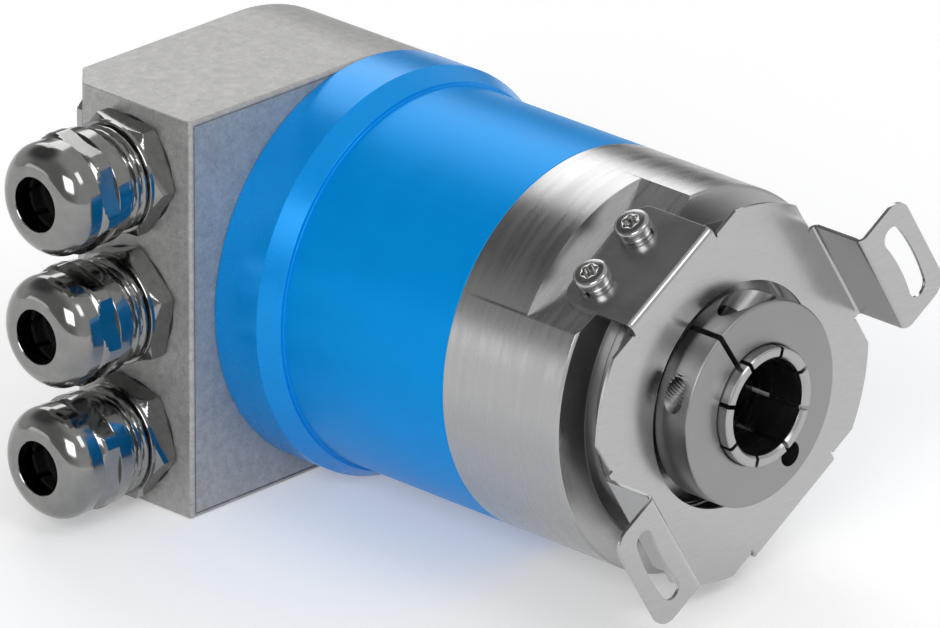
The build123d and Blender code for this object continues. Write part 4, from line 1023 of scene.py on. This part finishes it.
def gland_dome(number, z, turn):
    """Cap nut: skirt, spanner flats, and a polished dome that rolls over to the cable hole."""
    flats, dome_start, dome_inner, dome_size, hole_r, thread_r = 17.2, 16.8, 5.4, 3.45, 4.25, 8.38
    corners = ((9.0, 11.32), (9.3, 11.4), (9.45, 11.6), (9.45, 13.8), (9.3, 14.1), (9.05, 14.4), (8.8, 14.58))
    rows = [(thread_r, 8.85), (8.9, 8.85), (9.03, 8.98), (9.05, 9.2), (9.05, 11.22), (8.98, 11.3)]
    rows += [(hexed(flats, limit), along) for limit, along in corners]
    rows += [(8.76, 14.62), (8.85, 14.74), (8.85, dome_start)]
    for turn_in in np.linspace(0.05, 0.995, 18) * QUARTER:
        out, rise = math.cos(turn_in) ** 1.2, math.sin(turn_in) ** 1.2
        rows.append((dome_inner + dome_size * out, dome_start + dome_size * rise))
    rows += [(4.5, 20.25), (4.36, 20.2), (4.27, 20.1), (hole_r, 19.95), (hole_r, 18.3)]
    rows += [(6.65, 15.0), (thread_r, 15.0)]
    cap = turned(f"gland_dome_{number}", rows, gland_frame(z, turn))
    cap_node = f"gland_cap_{number}"
    return dressed(cap, NICKEL, cap_node, [cap_node], 24)


# Make every piece
flange_housing()
blue_cap()
front_plate()
stator_sheet()
fasteners("pan_screws", pan_screw(), leg_places(LEG_FACE + WASHER_HEIGHT), ["coupling_screws"], 5)
fasteners("split_washers", spring_washer(), leg_places(LEG_FACE), ["lock_washers"], 8)
shaft()
split_ring()
screw_across()
adaptor_casting()
cover_sheet()
cover_places = [((x, COVER_REAR, z), (0, 1, 0)) for x, z in LID_SCREWS]
fasteners("cover_screws", cover_screw(), cover_places, ["rear_cover_screws"], 2)
gland_set()
for number, (z, turn) in enumerate(zip(GLAND_HEIGHTS, CAP_TURNS), 1):
    gland_dome(number, z, turn)


# Floor, light and camera
FLOOR_LIFT = 0.27  # brightness that only the camera, glossy and transmission rays see
MIDDLE = Vector((0, 0.06, 0))


def floor():
    """Pale floor that the part stands on."""
    half = 3.0
    corners = ((-half, -half), (half, -half), (half, half), (-half, half))
    mesh = bpy.data.meshes.new("floor")
    mesh.from_pydata([(x, y, -COLLAR_R * MM) for x, y in corners], [], [(0, 1, 2, 3)])
    obj = in_scene("floor", mesh)
    look = {"Base_Color": (0.86, 0.86, 0.86, 1), "Roughness": 0.9, "Specular_IOR_Level": 0.1}
    material, tree, shader = new_material("floor", Emission_Color=(1, 1, 1, 1), **look)
    path = node(tree, "ShaderNodeLightPath")
    seen = path.outputs["Is Camera Ray"]
    for ray in ("Is Glossy Ray", "Is Transmission Ray"):
        seen = combined(tree, "MAXIMUM", seen, path.outputs[ray])
    lift = node(tree, "ShaderNodeMath", operation="MULTIPLY", in_1=FLOOR_LIFT)
    join(tree, seen, lift.inputs[0])
    join(tree, lift.outputs[0], shader.inputs["Emission Strength"])
    obj.data.materials.append(material)


def softbox(name, direction, distance, size, radiance):
    """Soft light that faces the part from a direction, in metres, with its brightness as seen in a mirror."""
    lamp = bpy.data.lights.new(name, "AREA")
    lamp.shape = "RECTANGLE"
    lamp.size, lamp.size_y = size
    lamp.energy = radiance * math.pi * size[0] * size[1]
    obj = in_scene(name, lamp)
    obj.location = MIDDLE + Vector(direction).normalized() * distance
    obj.rotation_euler = (MIDDLE - obj.location).to_track_quat("-Z", "Y").to_euler()


# Darker patches of the room: direction, cosines at the patch's edge and middle, and its level
ROOM_LEVEL = 0.88
DARK_PATCHES = (
    ((-0.13, 0.64, 0.76), 0.80, 0.97, 0.17),
    ((0.80, 0.60, 0.03), 0.92, 0.985, 0.15),
    ((-1.0, 0.1, 0.3), 0.45, 0.85, 0.4),
)


def room():
    """Even room light with darker patches between the soft lights."""
    world = bpy.data.worlds.new("room")
    bpy.context.scene.world = world
    world.use_nodes = True
    tree = world.node_tree
    shader = tree.nodes["Background"]
    where = node(tree, "ShaderNodeTexCoord")
    level = None
    for direction, edge, middle, dark in DARK_PATCHES:
        facing = node(tree, "ShaderNodeVectorMath", operation="DOT_PRODUCT")
        facing.inputs[1].default_value = Vector(direction).normalized()
        join(tree, where.outputs["Generated"], facing.inputs[0])
        patch = node(tree, "ShaderNodeMapRange", in_1=edge, in_2=middle, in_3=ROOM_LEVEL, in_4=dark)
        patch.interpolation_type = "SMOOTHSTEP"
        join(tree, facing.outputs["Value"], patch.inputs[0])
        level = patch.outputs[0] if level is None else combined(tree, "MULTIPLY", level, patch.outputs[0])
    join(tree, level, shader.inputs["Color"])
    shader.inputs["Strength"].default_value = 1.0


CAMERA_AZIMUTH, CAMERA_ELEVATION, CAMERA_ROLL = -46.078, 22.822, 0.293
CAMERA_TARGET, CAMERA_DISTANCE = (-0.248, 61.666, -3.277), 1815.3


def view():
    """Camera at the photograph's angle."""
    azimuth, elevation = math.radians(CAMERA_AZIMUTH), math.radians(CAMERA_ELEVATION)
    roll = math.radians(CAMERA_ROLL)
    right = Vector((math.cos(azimuth), math.sin(azimuth), 0))
    level_back = Vector((math.sin(azimuth), -math.cos(azimuth), 0))
    back = level_back * math.cos(elevation) + Vector((0, 0, math.sin(elevation)))
    up = back.cross(right)
    level = right * math.cos(roll) + up * math.sin(roll)
    rise = up * math.cos(roll) - right * math.sin(roll)
    lens = bpy.data.cameras.new("view")
    lens.lens, lens.sensor_width, lens.sensor_fit = 461.58, 36.0, "HORIZONTAL"
    lens.shift_x, lens.shift_y = 0.0030, 0.00068
    lens.clip_start, lens.clip_end = 0.05, 50
    camera = in_scene("view", lens)
    place = Matrix((level, rise, back)).transposed().to_4x4()
    place.translation = (Vector(CAMERA_TARGET) + back * CAMERA_DISTANCE) * MM
    camera.matrix_world = place
    bpy.context.scene.camera = camera


floor()
softbox("soft_rear", (0.44, 0.64, 0.62), 1.6, (0.92, 0.92), 1.9)
softbox("soft_left", (-0.80, -0.45, 0.50), 1.8, (0.8, 0.8), 5.4)
softbox("soft_low", (-0.77, 0.64, 0.10), 1.8, (0.9, 0.35), 1.1)
softbox("soft_front", (0.0, -0.67, 0.74), 1.6, (0.6, 0.6), 3.0)
room()
view()
bpy.context.scene.view_settings.view_transform = "Standard"
